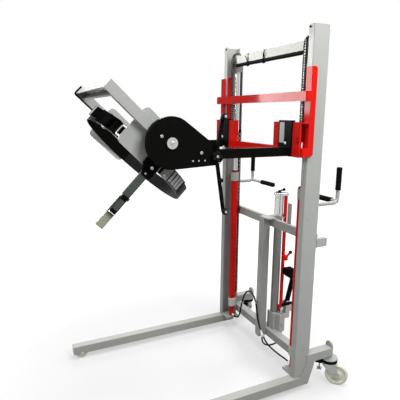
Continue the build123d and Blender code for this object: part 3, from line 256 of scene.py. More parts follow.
cream_nylon = nylon("cream_nylon", (0.62, 0.62, 0.5))
bright_zinc = plated("bright_zinc", (0.36, 0.37, 0.36), gloss=0.34)
tread = [
    (-0.025, 0.007), (-0.019, 0.007), (-0.019, 0.014), (-0.017, 0.0145), (-0.017, 0.031), (-0.0158, 0.035),
    (-0.0125, 0.0366), (-0.007, 0.037), (-0.0062, 0.0362), (-0.005, 0.0362), (-0.0042, 0.037)]
tread += [(-a, r) for a, r in tread[::-1]]
pin_head = [(0.0251, 0.0105), (0.0272, 0.0105), (0.028, 0.0096), (0.028, 0.004), (0.0272, 0.0034)]
for side, sign in hands:
    roller = f"front_roller_{side}"
    middle = joint_at[roller + "_spin"]
    piece(roller + "_tread", [turned(tread, middle, sign * right, 40)], cream_nylon, roller,
          (roller,))
    piece(roller + "_pin", [turned(pin_head, middle, sign * right, 24)], bright_zinc, roller)

# --- Uprights: rolled channels that open towards each other and guide the carriage.
# Grey enamel like the legs; each carries a short tube on its back.
dress(grey_enamel, "upright_left", "upright_right")

# --- Cross beams and centre post: the two tubes between the uprights and the folded post that holds the pump.
# Grey enamel over weld beads, which are painted with the frame.
dress(grey_enamel, "lower_beam", "middle_beam", "centre_post")


def circle(radius, count):
    """Corners of a ring: radius (cos t, sin t)."""
    t = np.linspace(0, 2 * np.pi, count, endpoint=False)
    return radius * np.stack([np.cos(t), np.sin(t)], -1)


def run(path, section, side, swell=1.0):
    """Bar along a path: corner (a, b) lies at path + swell (a u + b w), with u square to path and side.

    w is square to the path and u. Both ends close on the path.
    """
    path = np.asarray(path, float)
    ahead = np.gradient(path, axis=0)
    ahead /= np.linalg.norm(ahead, axis=1, keepdims=True)
    u = np.cross(ahead, side)
    u /= np.linalg.norm(u, axis=1, keepdims=True)
    w = np.cross(u, ahead)
    size = np.broadcast_to(swell, len(path))[:, None, None]
    rings = path[:, None] + size * (section[None, :, :1] * u[:, None] + section[None, :, 1:] * w[:, None])
    ends = np.repeat(path[[0, -1], None], len(section), axis=1)
    return grid(np.concatenate([ends[:1], rings, ends[1:]]))


def bead(start, end, radius):
    """Weld bead: its radius is that value times 0.85 + 0.3 |sin(pi s / 3.4 mm)|, less at both ends."""
    start, end = np.array(start, float), np.array(end, float)
    length = np.linalg.norm(end - start)
    s = np.linspace(0, 1, max(9, int(length / 0.0011)))
    ripple = 0.85 + 0.3 * np.abs(np.sin(np.pi * s * length / 0.0034))
    taper = np.minimum(1, 0.4 + 150 * length * np.minimum(s, 1 - s))
    skew_side = (0.31, 0.52, 0.79)
    return run(start + s[:, None] * (end - start), circle(radius, 8), skew_side, ripple * taper)


def welds(rows, radius, placed=np.array):
    """Beads on both hands, from the two ends of each bead on the right."""
    return [bead(*placed([(sign * x, y, z) for x, y, z in row]), radius)
            for side, sign in hands for row in rows]


beads = welds((
    ((0.391, 0.4575, 0.162), (0.391, 0.5075, 0.162)), ((0.391, 0.5075, 0.114), (0.391, 0.5075, 0.162)),
    ((0.4355, 0.365, 0.082), (0.4355, 0.44, 0.082)), ((0.396, 0.3625, 0.082), (0.435, 0.3625, 0.082)),
    ((0.396, 0.4575, 0.84), (0.396, 0.4575, 0.89)), ((0.396, 0.4575, 0.89), (0.411, 0.4575, 0.89)),
    ((0.411, 0.4575, 0.826), (0.411, 0.4575, 0.838)), ((0.412, 0.4575, 0.871), (0.435, 0.4575, 0.871)),
    ((0.412, 0.4575, 0.825), (0.435, 0.4575, 0.825)), ((0.392, 0.614, 0.208), (0.44, 0.614, 0.208)),
    ((0.3955, 0.364, 0.092), (0.3955, 0.456, 0.092)), ((0.4364, 0.3925, 0.083), (0.4364, 0.4545, 0.206)),
), 0.0024)
handle_x = 0.415
turn = np.linspace(0, 2 * np.pi, 61)
for side, sign in hands:
    x, z = sign * handle_x + 0.0108 * np.cos(turn), 1.052 + 0.0108 * np.sin(turn)
    ring = np.stack([x, np.full(61, 0.4585), z], -1)
    beads.append(run(ring, circle(0.0022, 8), back, 0.85 + 0.3 * np.abs(np.sin(turn * 10))))
for x in (-0.038, 0.014):
    for low, high in ((0.838, 0.892), (0.114, 0.162)):
        beads.append(bead((x, 0.4575, low), (x, 0.4575, high), 0.002))
beads.append(bead((0.155, 0.4765, 0.89), (0.185, 0.4765, 0.89), 0.002))
piece("frame_welds", beads, grey_enamel, "chassis", angle=80)

# --- Casters: zinc plated swivel heads and forks under the rear bars, black sealing rings between them.
# The nylon wheels have a recessed web; the brake pedals are black with zinc star screws under them,
# and hex nuts hold the axles.
satin_black = enamel("satin_black", (0.0042, 0.0045, 0.004), (0.014, 0.013, 0.011, 1), gloss=0.26, coat=0.0,
                     level=0.008)


def rubber(name, colour, grain, gloss):
    """Moulded rubber: near black, fine grain, with a grey bloom of dust in patches."""
    soft = Finish(name, {"IOR": 1.5, "Specular IOR Level": 0.012})
    bloom = soft.step(soft.noise(40.0, 6.0, rough=0.7), 0.48, 0.75)
    pores = soft.noise(grain, 3.0)
    shade = soft.mix(bloom * 0.55, (*colour, 1), scaled(colour, 1.7, 0.002))
    return soft.feed(shade, gloss + bloom * 0.2 + pores * 0.1, pores, 0.00012)


def lobed(mean, swing, lobes, count):
    """Ring with lobes: radius mean + swing cos(lobes t)."""
    t = np.linspace(0, 2 * np.pi, count, endpoint=False)
    return circle(1.0, count) * (mean + swing * np.cos(lobes * t))[:, None]


black_rubber = rubber("black_rubber", (0.0042, 0.0042, 0.0044), grain=500.0, gloss=0.42)
wheel_half = [
    (0.0, 0.0625), (0.0075, 0.0623), (0.012, 0.0615), (0.0148, 0.059), (0.016, 0.0555), (0.0156, 0.049),
    (0.0122, 0.0462), (0.0118, 0.03), (0.014, 0.0265), (0.0156, 0.024), (0.0172, 0.018), (0.0172, 0.0061)]
wheel_profile = [(-a, r) for a, r in wheel_half[:0:-1]] + wheel_half
washer = [(0.0, 0.0125), (0.0012, 0.0125)]
axle_nut = [(0.0012, 0.0106), (0.0062, 0.0106), (0.007, 0.0094), (0.007, 0.0046), (0.008, 0.0042)]
seal = [
    (0.1348, 0.0419), (0.1348, 0.0452), (0.1362, 0.0464), (0.152, 0.0468), (0.1538, 0.0462),
    (0.1538, 0.0411), (0.145, 0.0411), (0.1446, 0.0419), (0.1348, 0.0419)]
star_ring = lobed(0.0125, 0.0055, 4, 40)
star_rows = (
    (0.0735, 0.0), (0.0735, 0.9), (0.075, 1.0), (0.0805, 1.0), (0.082, 0.9), (0.083, 0.3), (0.1185, 0.3),
    (0.1185, 0.0))
fork_outer = 0.022
for side, sign in hands:
    hub = joint_at[f"wheel_{side}_spin"]
    kingpin = joint_at[f"caster_{side}_swivel"] * (1, 1, 0)
    trail = (hub - kingpin) * (1, 1, 0)
    trail /= np.linalg.norm(trail)
    axle = sign * np.cross(up, trail)
    piece(f"caster_wheel_{side}_nylon", [turned(wheel_profile, hub, axle, 56)], cream_nylon, f"wheel_{side}",
          (f"caster_wheel_{side}",))
    nuts = [turned(profile, hub + edge * fork_outer * axle, axle * edge, around)
            for edge in (-1, 1) for profile, around in ((washer, 28), (axle_nut, 6))]
    piece(f"caster_axle_nuts_{side}", nuts, bright_zinc, f"caster_{side}", angle=30)
    piece(f"caster_seal_{side}", [turned(seal, kingpin, up, 48)], black_rubber, "chassis")
    star = np.stack([kingpin - 0.05 * trail + np.insert(size * star_ring, 2, z, axis=1)
                     for z, size in star_rows])
    piece(f"caster_brake_screw_{side}", [grid(star)], bright_zinc, f"brake_{side}")
    dress(bright_zinc, f"caster_fork_{side}")
    dress(satin_black, f"caster_brake_{side}")
dress(bright_zinc, "caster_top_plates")

# --- Push handles: bent round bars behind the uprights, grey like the frame.
# Ribbed black rubber grips are pushed on, each with a collar at its inner end and a rounded outer end.
dress(grey_enamel, "push_handles")


def grip(start, axis, length):
    """Ribbed sleeve: radius 13.9 mm + 0.9 mm sin^2(pi a / 7 mm) between a collar and a rounded end."""
    a = np.linspace(0.01, length - 0.012, int(length / 0.00117))
    r = 0.0139 + 0.0009 * np.sin(np.pi * a / 0.007) ** 2
    collar = [(0.0, 0.0102), (0.0, 0.014), (0.0012, 0.0152), (0.006, 0.0152), (0.0075, 0.014)]
    outer_end = [
        (length - 0.009, 0.0148), (length - 0.004, 0.0146), (length - 0.0012, 0.0128), (length, 0.009),
        (length, 0.0)]
    return turned(collar + list(zip(a, r)) + outer_end, start, axis, 32, solid=False)


handle_y = 0.5965
grips = []
for sign, bar_x in ((-1, 0.295), (1, 0.375)):
    grips.append(grip((sign * handle_x, handle_y, 1.12), up, 0.12))
    grips.append(grip((sign * bar_x, handle_y, 1.057), -sign * right, 0.135))
piece("handle_grip_sleeves", grips, black_rubber, "chassis", ("handle_grips",), 60)

# --- Lift cylinders: red barrels on bare steel feet, each with a light collar low down and a wiper on top.
# Clamps hold their tops to the mast, and threaded rods with nuts anchor the chains. A black screw at the
# top of each upright stops the carriage.


def collar_of(paint):
    """Light collar between 0.170 and 0.229 m."""
    tall = paint.height()
    return paint.step(tall, 0.1698, 0.1702) * paint.step(tall, 0.2292, 0.2288), (0.58, 0.57, 0.52, 1)


def cap_screw(base, axis, radius, height, around=22):
    """Socket head screw: a round head with a chamfer and a round socket."""
    return turned([(0, radius), (0.82 * height, radius), (height, 0.88 * radius), (height, 0.52 * radius),
                   (0.42 * height, 0.48 * radius)], base, axis, around)


def hex_nut(base, axis, radius, height):
    """Hexagon with chamfered corners."""
    return turned([(0, radius * 0.94), (0.1 * height, radius), (0.9 * height, radius),
                   (height, 0.9 * radius)], base, axis, 6)


red, red_dust = (0.6, 0.01, 0.007), (0.16, 0.03, 0.022, 1)
red_enamel = enamel("red_enamel", red, red_dust, gloss=0.05, peel=0.000015, coat=0.0, level=0.032)
dress(enamel("red_barrel", (0.56, 0.01, 0.007), red_dust, gloss=0.22, coat=0.0, level=0.05,
             second=collar_of), "lift_cylinders")
dress(grey_enamel, "cylinder_brackets")
barrel_x, barrel_y = 0.35, 0.414
chain_x, chain_rear = 0.352, 0.446
wiper = [
    (1.1345, 0.015), (1.1345, 0.0215), (1.137, 0.0215), (1.1385, 0.019), (1.14, 0.015), (1.14, 0.0116),
    (1.1345, 0.015)]
nuts, wipers, stops = [], [], []
for side, sign in hands:
    nuts += [hex_nut((sign * chain_x, chain_rear, low), up, 0.0092, 0.0085) for low in (0.0922, 0.2205)]
    nuts.append(cap_screw((sign * barrel_x, 0.3882, 0.199), -back, 0.0055, 0.005))
    nuts.append(cap_screw((sign * 0.325, barrel_y, 1.1), -sign * right, 0.006, 0.006))
    wipers.append(turned(wiper, (sign * barrel_x, barrel_y, 0), up, 36))
    stops.append(cap_screw((sign * 0.405, 0.3625, 1.9135), -back, 0.0048, 0.006, 16))
piece("cylinder_fasteners", nuts, bright_zinc, "chassis", angle=30)
piece("cylinder_wipers", wipers, black_rubber, "chassis")
piece("upright_stop_screws", stops, satin_black, "chassis", angle=30)

# --- Foot pump: cast valve block, grey oil tube, polished head, red release rod with its lever and cable.
# The black pedal has a ribbed rubber shoe and turns on a pin that a black bar keeps in, over a small cast
# tray; a small lever with a ball tops the head.
chrome = plated("chrome", (0.5, 0.5, 0.49), gloss=0.12, blotch=0.05)


def ball_at(centre, radius):
    """Black within a radius of the knob's centre."""
    def within(paint):
        apart = paint.node("VectorMath", {"operation": "DISTANCE"}, {0: paint.place, 1: centre}, 1)
        return paint.step(apart, radius + 0.0006, radius + 0.0002), (0.01, 0.01, 0.01, 1)
    return within


def slab(low, high):
    """Box between two corners."""
    low, high = np.array(low, float), np.array(high, float)
    corners = np.array([(0, 0, 0), (1, 0, 0), (1, 1, 0), (0, 1, 0),
                        (0, 0, 1), (1, 0, 1), (1, 1, 1), (0, 1, 1)])
    quads = np.array([(0, 3, 2, 1), (4, 5, 6, 7), (0, 1, 5, 4), (1, 2, 6, 5), (2, 3, 7, 6), (3, 0, 4, 7)])
    return low + corners * (high - low), [quads]


def plate(outline, origin, u, v, thickness):
    """Flat plate: pairs (a, b) at origin + a u + b v, given a thickness along u x v, with eased edges."""
    outline, u, v = np.asarray(outline, float), np.asarray(u, float), np.asarray(v, float)
    middle = outline.mean(0)
    ease = outline - 0.0006 * (outline - middle) / np.linalg.norm(outline - middle, axis=1, keepdims=True)
    centre = np.repeat(middle[None], len(outline), 0)
    rows = ((centre, 0.0), (ease, 0.0), (outline, 0.12), (outline, 0.88), (ease, 1.0), (centre, 1.0))
    w = np.cross(u, v) * thickness
    return grid(np.stack([np.asarray(origin, float) + row[:, :1] * u + row[:, 1:] * v + depth * w
                          for row, depth in rows]))


cast_grey = enamel("cast_grey", (0.4, 0.405, 0.395), (0.16, 0.145, 0.125, 1), gloss=0.46, peel=0.00045,
                   coat=0.1)
dress(cast_grey, "pump_base")
# The oil tube's grey is darker than the frame's, with the near upright's shade painted in.
dress(enamel("tube_grey", (0.2, 0.205, 0.195), (0.12, 0.11, 0.095, 1), gloss=0.32, peel=0.00006, coat=0.08,
             level=0.3), "pump_tube")
dress(chrome, "pump_head", "pump_plunger")
dress(red_enamel, "release_rod")
dress(enamel("red_lever", red, red_dust, gloss=0.24, coat=0.0, level=0.05,
             second=ball_at((0.048, 0.597, 0.661), 0.012)), "release_lever")
dress(satin_black, "top_lever")
dress(black_rubber, "release_cable")
tube_radius = 0.025
rings = [turned([(low, tube_radius), (low, r - 0.0008), (low + 0.001, r), (high - 0.001, r),
                 (high, r - 0.0008), (high, tube_radius), (low, tube_radius)],
                joint_at["top_lever_turn"] * (1, 1, 0), up, 48)
         for low, high, r in ((0.9005, 0.911, 0.029), (0.913, 0.916, 0.0276), (0.964, 0.9665, 0.0274),
                              (1.015, 1.018, 0.0276))]
rings += [hex_nut(*nut) for nut in (
    ((0.012, 0.498, 1.0462), up, 0.0075, 0.006), ((0.08, 0.5405, 0.23), back, 0.009, 0.007),
    ((0.0985, 0.522, 0.205), right, 0.0085, 0.007), ((0.04, 0.5381, 0.19), back, 0.01, 0.008))]
piece("pump_rings_and_plugs", rings, bright_zinc, "chassis", angle=30)
valve_cap = [turned([(0, 0.012), (0.01, 0.012), (0.014, 0.0095)], (0.012, 0.5381, 0.236), back, 24),
             slab((0.028, 0.5381, 0.224), (0.052, 0.552, 0.244)),
             slab((0.0512, 0.515, 0.2885), (0.0602, 0.556, 0.328))]
piece("release_valve_cap", valve_cap, red_enamel, "chassis")

pedal_pivot = joint_at["foot_pedal_swing"]
arm_side = [
    (0.564, 0.346), (0.57, 0.375), (0.579, 0.415), (0.589, 0.456), (0.596, 0.488), (0.596, 0.512),
    (0.588, 0.53)]
arm_section = np.array([
    (0.0105, 0.011), (0.008, 0.013), (-0.008, 0.013), (-0.0105, 0.011), (-0.0105, -0.011), (-0.008, -0.013),
    (0.008, -0.013), (0.0105, -0.011)])
pad_side = [
    (0.53, 0.574), (0.5345, 0.576), (0.588, 0.5735), (0.6, 0.568), (0.607, 0.556), (0.6075, 0.525),
    (0.602, 0.512), (0.586, 0.506), (0.57, 0.508), (0.556, 0.517), (0.542, 0.529), (0.529, 0.552),
    (0.5275, 0.568)]
pedal = [run(np.insert(arm_side, 0, pedal_pivot[0], axis=1), arm_section, right),
         plate(pad_side, (0.064, 0, 0), back, up, 0.047)]
pedal += [turned([(-reach, radius), (reach, radius)], pedal_pivot, right, 32)
          for reach, radius in ((0.0105, 0.014), (0.0191, 0.007))]
piece("foot_pedal_arm_and_pad", pedal, satin_black, "foot_pedal", ("foot_pedal",))
pad_ribs = [slab((0.065, y, 0.5735), (0.11, y + 0.0045, 0.5775)) for y in np.arange(0.5345, 0.584, 0.009)]
piece("pedal_pad_ribs", pad_ribs, black_rubber, "foot_pedal")
tray = [slab(low, high) for low, high in (
    ((0.0607, 0.5735, 0.3215), (0.0993, 0.612, 0.325)), ((0.0607, 0.5735, 0.29), (0.0645, 0.612, 0.3215)),
    ((0.0955, 0.5735, 0.29), (0.0993, 0.612, 0.3215)), ((0.0957, 0.588, 0.325), (0.0993, 0.604, 0.352)))]
piece("pedal_tray", tray, cast_grey, "chassis")
keeper_face = 0.1026
keeper = [slab((0.0993, 0.512, 0.337), (keeper_face, 0.606, 0.356)),
          cap_screw((keeper_face, 0.596, 0.3465), right, 0.0055, 0.004),
          turned([(0, 0.009), (0.0024, 0.009), (0.0034, 0.0075)], (keeper_face, *pedal_pivot[1:]), right, 24)]
piece("pedal_pin_keeper", keeper, satin_black, "chassis")

# --- Hoses: three black hydraulic hoses between the tee, the cylinder feet and the pump.
# Smooth rubber over braid; each runs from one crimped ferrule to another, and hex nuts close the joints.
hose_rubber = rubber("hose_rubber", (0.011, 0.011, 0.012), grain=900.0, gloss=0.34)
hose_diameter = 0.01
for hose, length, route in (
    ("hose_left", 0.6365, [
        (-0.312, 0.414, 0.104), (-0.282, 0.414, 0.104), (-0.254, 0.415, 0.121), (-0.238, 0.416, 0.159),
        (-0.224, 0.415, 0.212), (-0.206, 0.414, 0.266), (-0.178, 0.412, 0.322), (-0.14, 0.409, 0.362),
        (-0.092, 0.406, 0.374), (-0.048, 0.403, 0.36), (-0.02, 0.4, 0.324), (-0.006, 0.3995, 0.274),
        (0.011, 0.3985, 0.226), (0.026329, 0.3985, 0.190118), (0.045651, 0.3985, 0.172721)]),
    ("hose_right", 0.2437, [
        (0.078349, 0.3985, 0.143279), (0.097671, 0.3985, 0.125882), (0.132, 0.4005, 0.112),
        (0.182, 0.4045, 0.106), (0.234, 0.409, 0.103), (0.28, 0.414, 0.104), (0.312, 0.414, 0.104)]),
    ("hose_pump", 0.2146, [
        (0.062, 0.3985, 0.134), (0.062, 0.3985, 0.109), (0.065, 0.4135, 0.084), (0.07, 0.4385, 0.07),
        (0.076, 0.4865, 0.071), (0.08, 0.511, 0.088), (0.084, 0.526, 0.114), (0.084, 0.526, 0.14)]),
):
    line = bpy.data.curves.new(hose + "_line", "CURVE")
    line.dimensions, line.bevel_depth = "3D", hose_diameter / 2
    line.bevel_resolution, line.resolution_u = 4, 8
    line.use_fill_caps = True
    spline = line.splines.new("NURBS")
    spline.points.add(len(route) - 1)
    for point, place in zip(spline.points, route):
        point.co = (*place, 1)
    spline.order_u, spline.use_endpoint_u = 3, True
    tube = added(hose + "_tube", line)
    line.materials.append(hose_rubber)
    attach(tube, "chassis")
    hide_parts(hose)


def ferrule(base, axis):
    """Crimped ferrule 22 mm long: three swaged grooves and a hex union at the foot."""
    grooves = [(a + shift, r) for a in (0.011, 0.0145, 0.018)
               for shift, r in ((0.0, 0.008), (0.001, 0.0072), (0.0022, 0.008))]
    crimp = [(0.0095, 0.0078), *grooves, (0.0218, 0.0076), (0.022, 0.0056)]
    return [turned(crimp, base, axis, 24), hex_nut(base, axis, 0.0092, 0.0094)]


drop = math.radians(42)
tee_along = np.array((math.cos(drop), 0, -math.sin(drop)))
tee = np.array((0.062, 0.3985, 0.158))
tee_crimp = [
    (0.0155, 0.008), (0.0175, 0.008), (0.0182, 0.007), (0.02, 0.007), (0.0206, 0.008), (0.0218, 0.0078),
    (0.022, 0.0056)]
unions = [*ferrule((-0.334, 0.414, 0.104), right), *ferrule((0.334, 0.414, 0.104), -right),
          *ferrule((0.084, 0.526, 0.162), -up), *ferrule((0.062, 0.3985, 0.156), -up),
          turned([(-0.01, 0.009), (0.01, 0.009)], tee, tee_along, 4)]
for edge in (-1, 1):
    unions.append(hex_nut(tee + 0.0095 * edge * tee_along, tee_along * edge, 0.0094, 0.0065))
    unions.append(turned(tee_crimp, tee, tee_along * edge, 24))
piece("hose_unions", unions, bright_zinc, "chassis", ("hose_fittings",), 30)
clip_band = [(-0.006, 0.0052), (-0.006, 0.0066), (0.006, 0.0066), (0.006, 0.0052), (-0.006, 0.0052)]
clip = [turned(clip_band, (-0.0235, 0.4, 0.329), (0.36, -0.02, -0.93), 24),
        slab((-0.033, 0.404, 0.322), (-0.018, 0.4128, 0.336))]
piece("hose_clip", clip, bright_zinc, "chassis")

# --- Yoke: grey cross tube on the two polished lift rods, with the chain pulleys in its clevises.
# Zinc caps close the pulley pins; a black rubber sleeve under the front edge is held by two ties.
dress(plated("dull_zinc", (0.24, 0.24, 0.228), gloss=0.6, blotch=0.06), "yoke_bar")
dress(chrome, "lift_rods")
dress(bright_zinc, "chain_pulley_left", "chain_pulley_right")
pin_cap = [(0, 0.011), (0.0015, 0.011), (0.002, 0.0085), (0.0035, 0.008), (0.0035, 0.003), (0.0028, 0)]
cheek_face = 0.0206
caps = []
for side, sign in hands:
    caps += [turned(pin_cap, joint_at[f"pulley_{side}_turn"] + edge * cheek_face * right, edge * right, 24)
             for edge in (-1, 1)]
    caps.append(hex_nut((sign * barrel_x, barrel_y, 1.761), up, 0.017, 0.0108))
piece("yoke_pin_caps", caps, bright_zinc, "yoke", angle=30)


def flowing(points, steps=8):
    """Catmull-Rom curve: half of 2 b + (c - a) s + (2 a - 5 b + 4 c - d) s^2 + (3 b - a - 3 c + d) s^3."""
    p = np.array(points, float)
    p = np.vstack([2 * p[0] - p[1], p, 2 * p[-1] - p[-2]])
    s = (np.arange(steps) / steps)[:, None]
    a, b, c, d = p[:-3, None], p[1:-2, None], p[2:-1, None], p[3:, None]
    curve = (2 * b + (c - a) * s + (2 * a - 5 * b + 4 * c - d) * s**2 + (3 * b - a - 3 * c + d) * s**3) / 2
    return np.vstack([curve.reshape(-1, 3), p[-2]])


lip = (0.398, 1.8095) + circle(1.0, 18) * (0.0115, 0.0104)
along = np.linspace(-0.33, 0.33, 67)
wave = np.stack([0.00025 * np.sin(along * 61), 0.0004 * np.sin(along * 23)], -1)
sleeve = np.concatenate([along[:, None, None].repeat(len(lip), 1), lip + wave[:, None]], -1)
ends = sleeve[[0, -1]].mean(1, keepdims=True).repeat(len(lip), 1)
sleeve = grid(np.concatenate([ends[:1], sleeve, ends[1:]]))
piece("yoke_edge_sleeve", [sleeve], black_rubber, "yoke")
strip = np.array([(-0.0024, -0.0006), (0.0024, -0.0006), (0.0024, 0.0006), (-0.0024, 0.0006)])
loop_side = [
    (0.3858, 1.8095), (0.3866, 1.816), (0.3905, 1.823), (0.393, 1.84), (0.3935, 1.864), (0.3985, 1.8657),
    (0.432, 1.8657), (0.4347, 1.863), (0.4347, 1.822), (0.432, 1.8193), (0.413, 1.816), (0.408, 1.804),
    (0.398, 1.7985), (0.3885, 1.802), (0.3858, 1.8095)]
ties = []
for x, lean in ((-0.194, -0.007), (-0.023, 0.005)):
    tail = [(x + share * lean, y, z) for share, y, z in (
        (0, 0.388, 1.821), (0.3, 0.387, 1.83), (1, 0.385, 1.842), (2.2, 0.3838, 1.853))]
    ties += [run(flowing(np.insert(loop_side, 0, x, axis=1), 3), strip, right),
             run(flowing(tail, 5), strip, right),
             slab((x - 0.0045, 0.388, 1.7925), (x + 0.0045, 0.3965, 1.7995)),
             slab((x - 0.0036, 0.385, 1.8165), (x + 0.0036, 0.3905, 1.8225))]
piece("yoke_ties", ties, black_rubber, "yoke")

# --- Lift chains: oiled roller chain from the anchors over the pulleys to the carriage, 12.7 mm pitch.
# The outer plates belong to the fixed and carriage runs, the rollers and inner plates to the yoke's runs and,
# below the lowest place of those, to the fixed runs.
oiled_steel = plated("oiled_steel", (0.016, 0.015, 0.014), gloss=0.34, blotch=0.3, edge=0.03)
pin_steel = plated("pin_steel", (0.58, 0.57, 0.55), gloss=0.22, blotch=0.1)
pitch = 0.0127
plate_half = 0.0008 * right


def links(centres, heads, across):
    """Waisted link plates: t round each end gives (cos t, sin t) times 5.9 mm about two pins a pitch apart.

    Rows of centres, of directions along the chain and of places across the chain set the plates out.
    """
    t = np.radians([90, 126, 162, 198, 234, 270])
    end = np.stack([-pitch / 2 + 0.0059 * np.cos(t), 0.0059 * np.sin(t)], -1)
    outline = np.vstack([end, (0, -0.0049), -end, (0, 0.0049)])
    n = len(outline)
    heads = np.broadcast_to(heads, centres.shape)
    sides = np.cross(right, heads)
    flat = centres[:, None] + outline[None, :, :1] * heads[:, None] + outline[None, :, 1:] * sides[:, None]
    flat = flat + np.broadcast_to(across, len(centres))[:, None, None] * right
    points = np.concatenate([flat - plate_half, flat + plate_half], axis=1)
    ring = np.arange(n)
    after = (ring + 1) % n
    shift = (np.arange(len(centres)) * 2 * n)[:, None, None]
    walls = (np.stack([ring, after, after + n, ring + n], -1)[None] + shift).reshape(-1, 4)
    faces = (np.stack([ring[::-1], ring + n])[None] + shift).reshape(-1, n)
    return points.reshape(-1, 3), [walls, faces]


def outer_links(centres):
    """Outer plates on both sides, every second one set farther out."""
    across = np.where(np.arange(len(centres)) % 2, 0.01125, 0.00945)
    return [links(centres, up, edge * across) for edge in (-1, 1)]


def pins(centres, reach, radius=0.0026):
    """Eight-sided rivets along X through each centre, reach metres each way."""
    points, groups = turned([(-reach, radius), (reach, radius)], (0, 0, 0), right, 8)
    shift = (np.arange(len(centres)) * len(points))[:, None, None]
    return ((centres[:, None] + points[None]).reshape(-1, 3),
            [(group[None] + shift).reshape(-1, group.shape[1]) for group in groups])


def outer_pins(centres):
    """Short rivets through the outer plates on both sides."""
    return [pins(centres + edge * 0.01085 * right, 0.00165) for edge in (-1, 1)]


def strand(x, y, z):
    """Places on a straight run of chain, one for each height."""
    return np.stack([np.full(len(z), x), np.full(len(z), y), z], -1)


side_plates = ((-0.0072, 0), (-0.0053, 1), (0.0053, 1), (0.0072, 0))
roller_reach, roller_radius = 0.0044, 0.004
wrap, yoke_links, yoke_lowest = 0.032, 35, 0.945
fixed_plates, fixed_pins, yoke_plates, yoke_pins, lift_plates, lift_pins = [], [], [], [], [], []
for side, sign in hands:
    x, pulley_y, pulley_z = joint_at[f"pulley_{side}_turn"]
    chain_front = pulley_y - wrap
    z = 0.268 + pitch * (np.arange(int((1.4 - 0.266) / pitch)) + 0.5)
    centres = strand(x, chain_rear, z)
    fixed_plates += outer_links(centres)
    low = z < yoke_lowest
    odd = np.arange(len(z)) % 2
    fixed_plates += [links(centres[low & (odd == turn)], up, offset) for offset, turn in side_plates]
    joints = centres - pitch / 2 * up
    fixed_pins += [pins(joints[low], 0.0126), pins(joints[low], roller_reach, roller_radius)]
    fixed_pins += outer_pins(joints[~low])

    down = pulley_z - pitch * (np.arange(yoke_links) + 0.5)
    arc = int(math.pi * wrap / pitch) + 1
    bend = np.pi * (np.arange(arc) + 0.5) / arc
    over = np.stack([np.full(arc, x), pulley_y + wrap * np.cos(bend), pulley_z + wrap * np.sin(bend)], -1)
    middles = np.vstack([strand(x, chain_rear, down[::-1]), over, strand(x, chain_front, down)])
    over_aims = np.stack([np.zeros(arc), -np.sin(bend), np.cos(bend)], -1)
    aims = np.vstack([np.tile(up, (yoke_links, 1)), over_aims, np.tile(-up, (yoke_links, 1))])
    odd = np.arange(len(middles)) % 2
    yoke_plates += [links(middles[odd == turn], aims[odd == turn], offset) for offset, turn in side_plates]
    between = (middles[1:] + middles[:-1]) / 2
    yoke_pins += [pins(between, 0.0081, 0.002), pins(between, roller_reach, roller_radius)]

    z = pulley_z - pitch * (np.arange(int((pulley_z - 1.374) / pitch)) + 0.5)
    centres = strand(x, chain_front, z)
    lift_plates += outer_links(centres)
    lift_pins += outer_pins(centres + pitch / 2 * up)
    lift_plates.append(slab((x - 0.012, 0.3505, 1.37), (x + 0.012, 0.388, 1.3996)))
    lift_pins.append(hex_nut((x, 0.36, 1.37), -up, 0.0085, 0.007))
for chain, body, plates, rivets in (("chain_fixed", "chassis", fixed_plates, fixed_pins),
                                    ("chain_yoke", "yoke", yoke_plates, yoke_pins),
                                    ("chain_carriage", "carriage", lift_plates, lift_pins)):
    piece(chain + "_plates", plates, oiled_steel, body, (chain + "_strands",), 30)
    piece(chain + "_pins", rivets, pin_steel, body, angle=50)

# --- Carriage: red angles round the uprights, two cross bars, two bracket boxes, black glide blocks inside.
# Folded and welded plate in glossy red enamel, also over the beads; a guide plate runs in each upright.
dress(red_enamel, "carriage_side_left", "carriage_side_right", "carriage_bars", "bracket_boxes")
dress(rubber("black_nylon", (0.016, 0.016, 0.017), grain=260.0, gloss=0.38), "guide_shoes")
beads = welds((
    ((0.408, 0.3505, 1.617), (0.4465, 0.3505, 1.617)), ((0.408, 0.3505, 1.572), (0.4465, 0.3505, 1.572)),
    ((0.408, 0.3505, 1.347), (0.4465, 0.3505, 1.347)), ((0.2135, 0.3205, 1.349), (0.2135, 0.3205, 1.47)),
    ((0.215, 0.3205, 1.302), (0.428, 0.3205, 1.302)), ((0.4065, 0.3505, 1.574), (0.4065, 0.3505, 1.615)),
), 0.0022)
piece("carriage_welds", beads, red_enamel, "carriage", angle=80)


def rounded(low, high, corner, count=5):
    """Rectangle between two corners, with quarter circles of count points at its corners."""
    (a, b), (c, d) = np.array(low) + corner, np.array(high) - corner
    t = np.linspace(0, np.pi / 2, count) + np.arange(4)[:, None] * np.pi / 2
    middles = np.array(((c, d), (a, d), (a, b), (c, b)))[:, None]
    return (middles + corner * np.stack([np.cos(t), np.sin(t)], -1)).reshape(-1, 2)


guide_side = rounded((0.369, 1.307), (0.412, 1.742), 0.008)
guide_x, guide_thickness = 0.3907, 0.009
guides = [plate(guide_side, (sign * guide_x - guide_thickness / 2) * right, back, up, guide_thickness)
          for side, sign in hands]
piece("carriage_guide_plates", guides, red_enamel, "carriage")

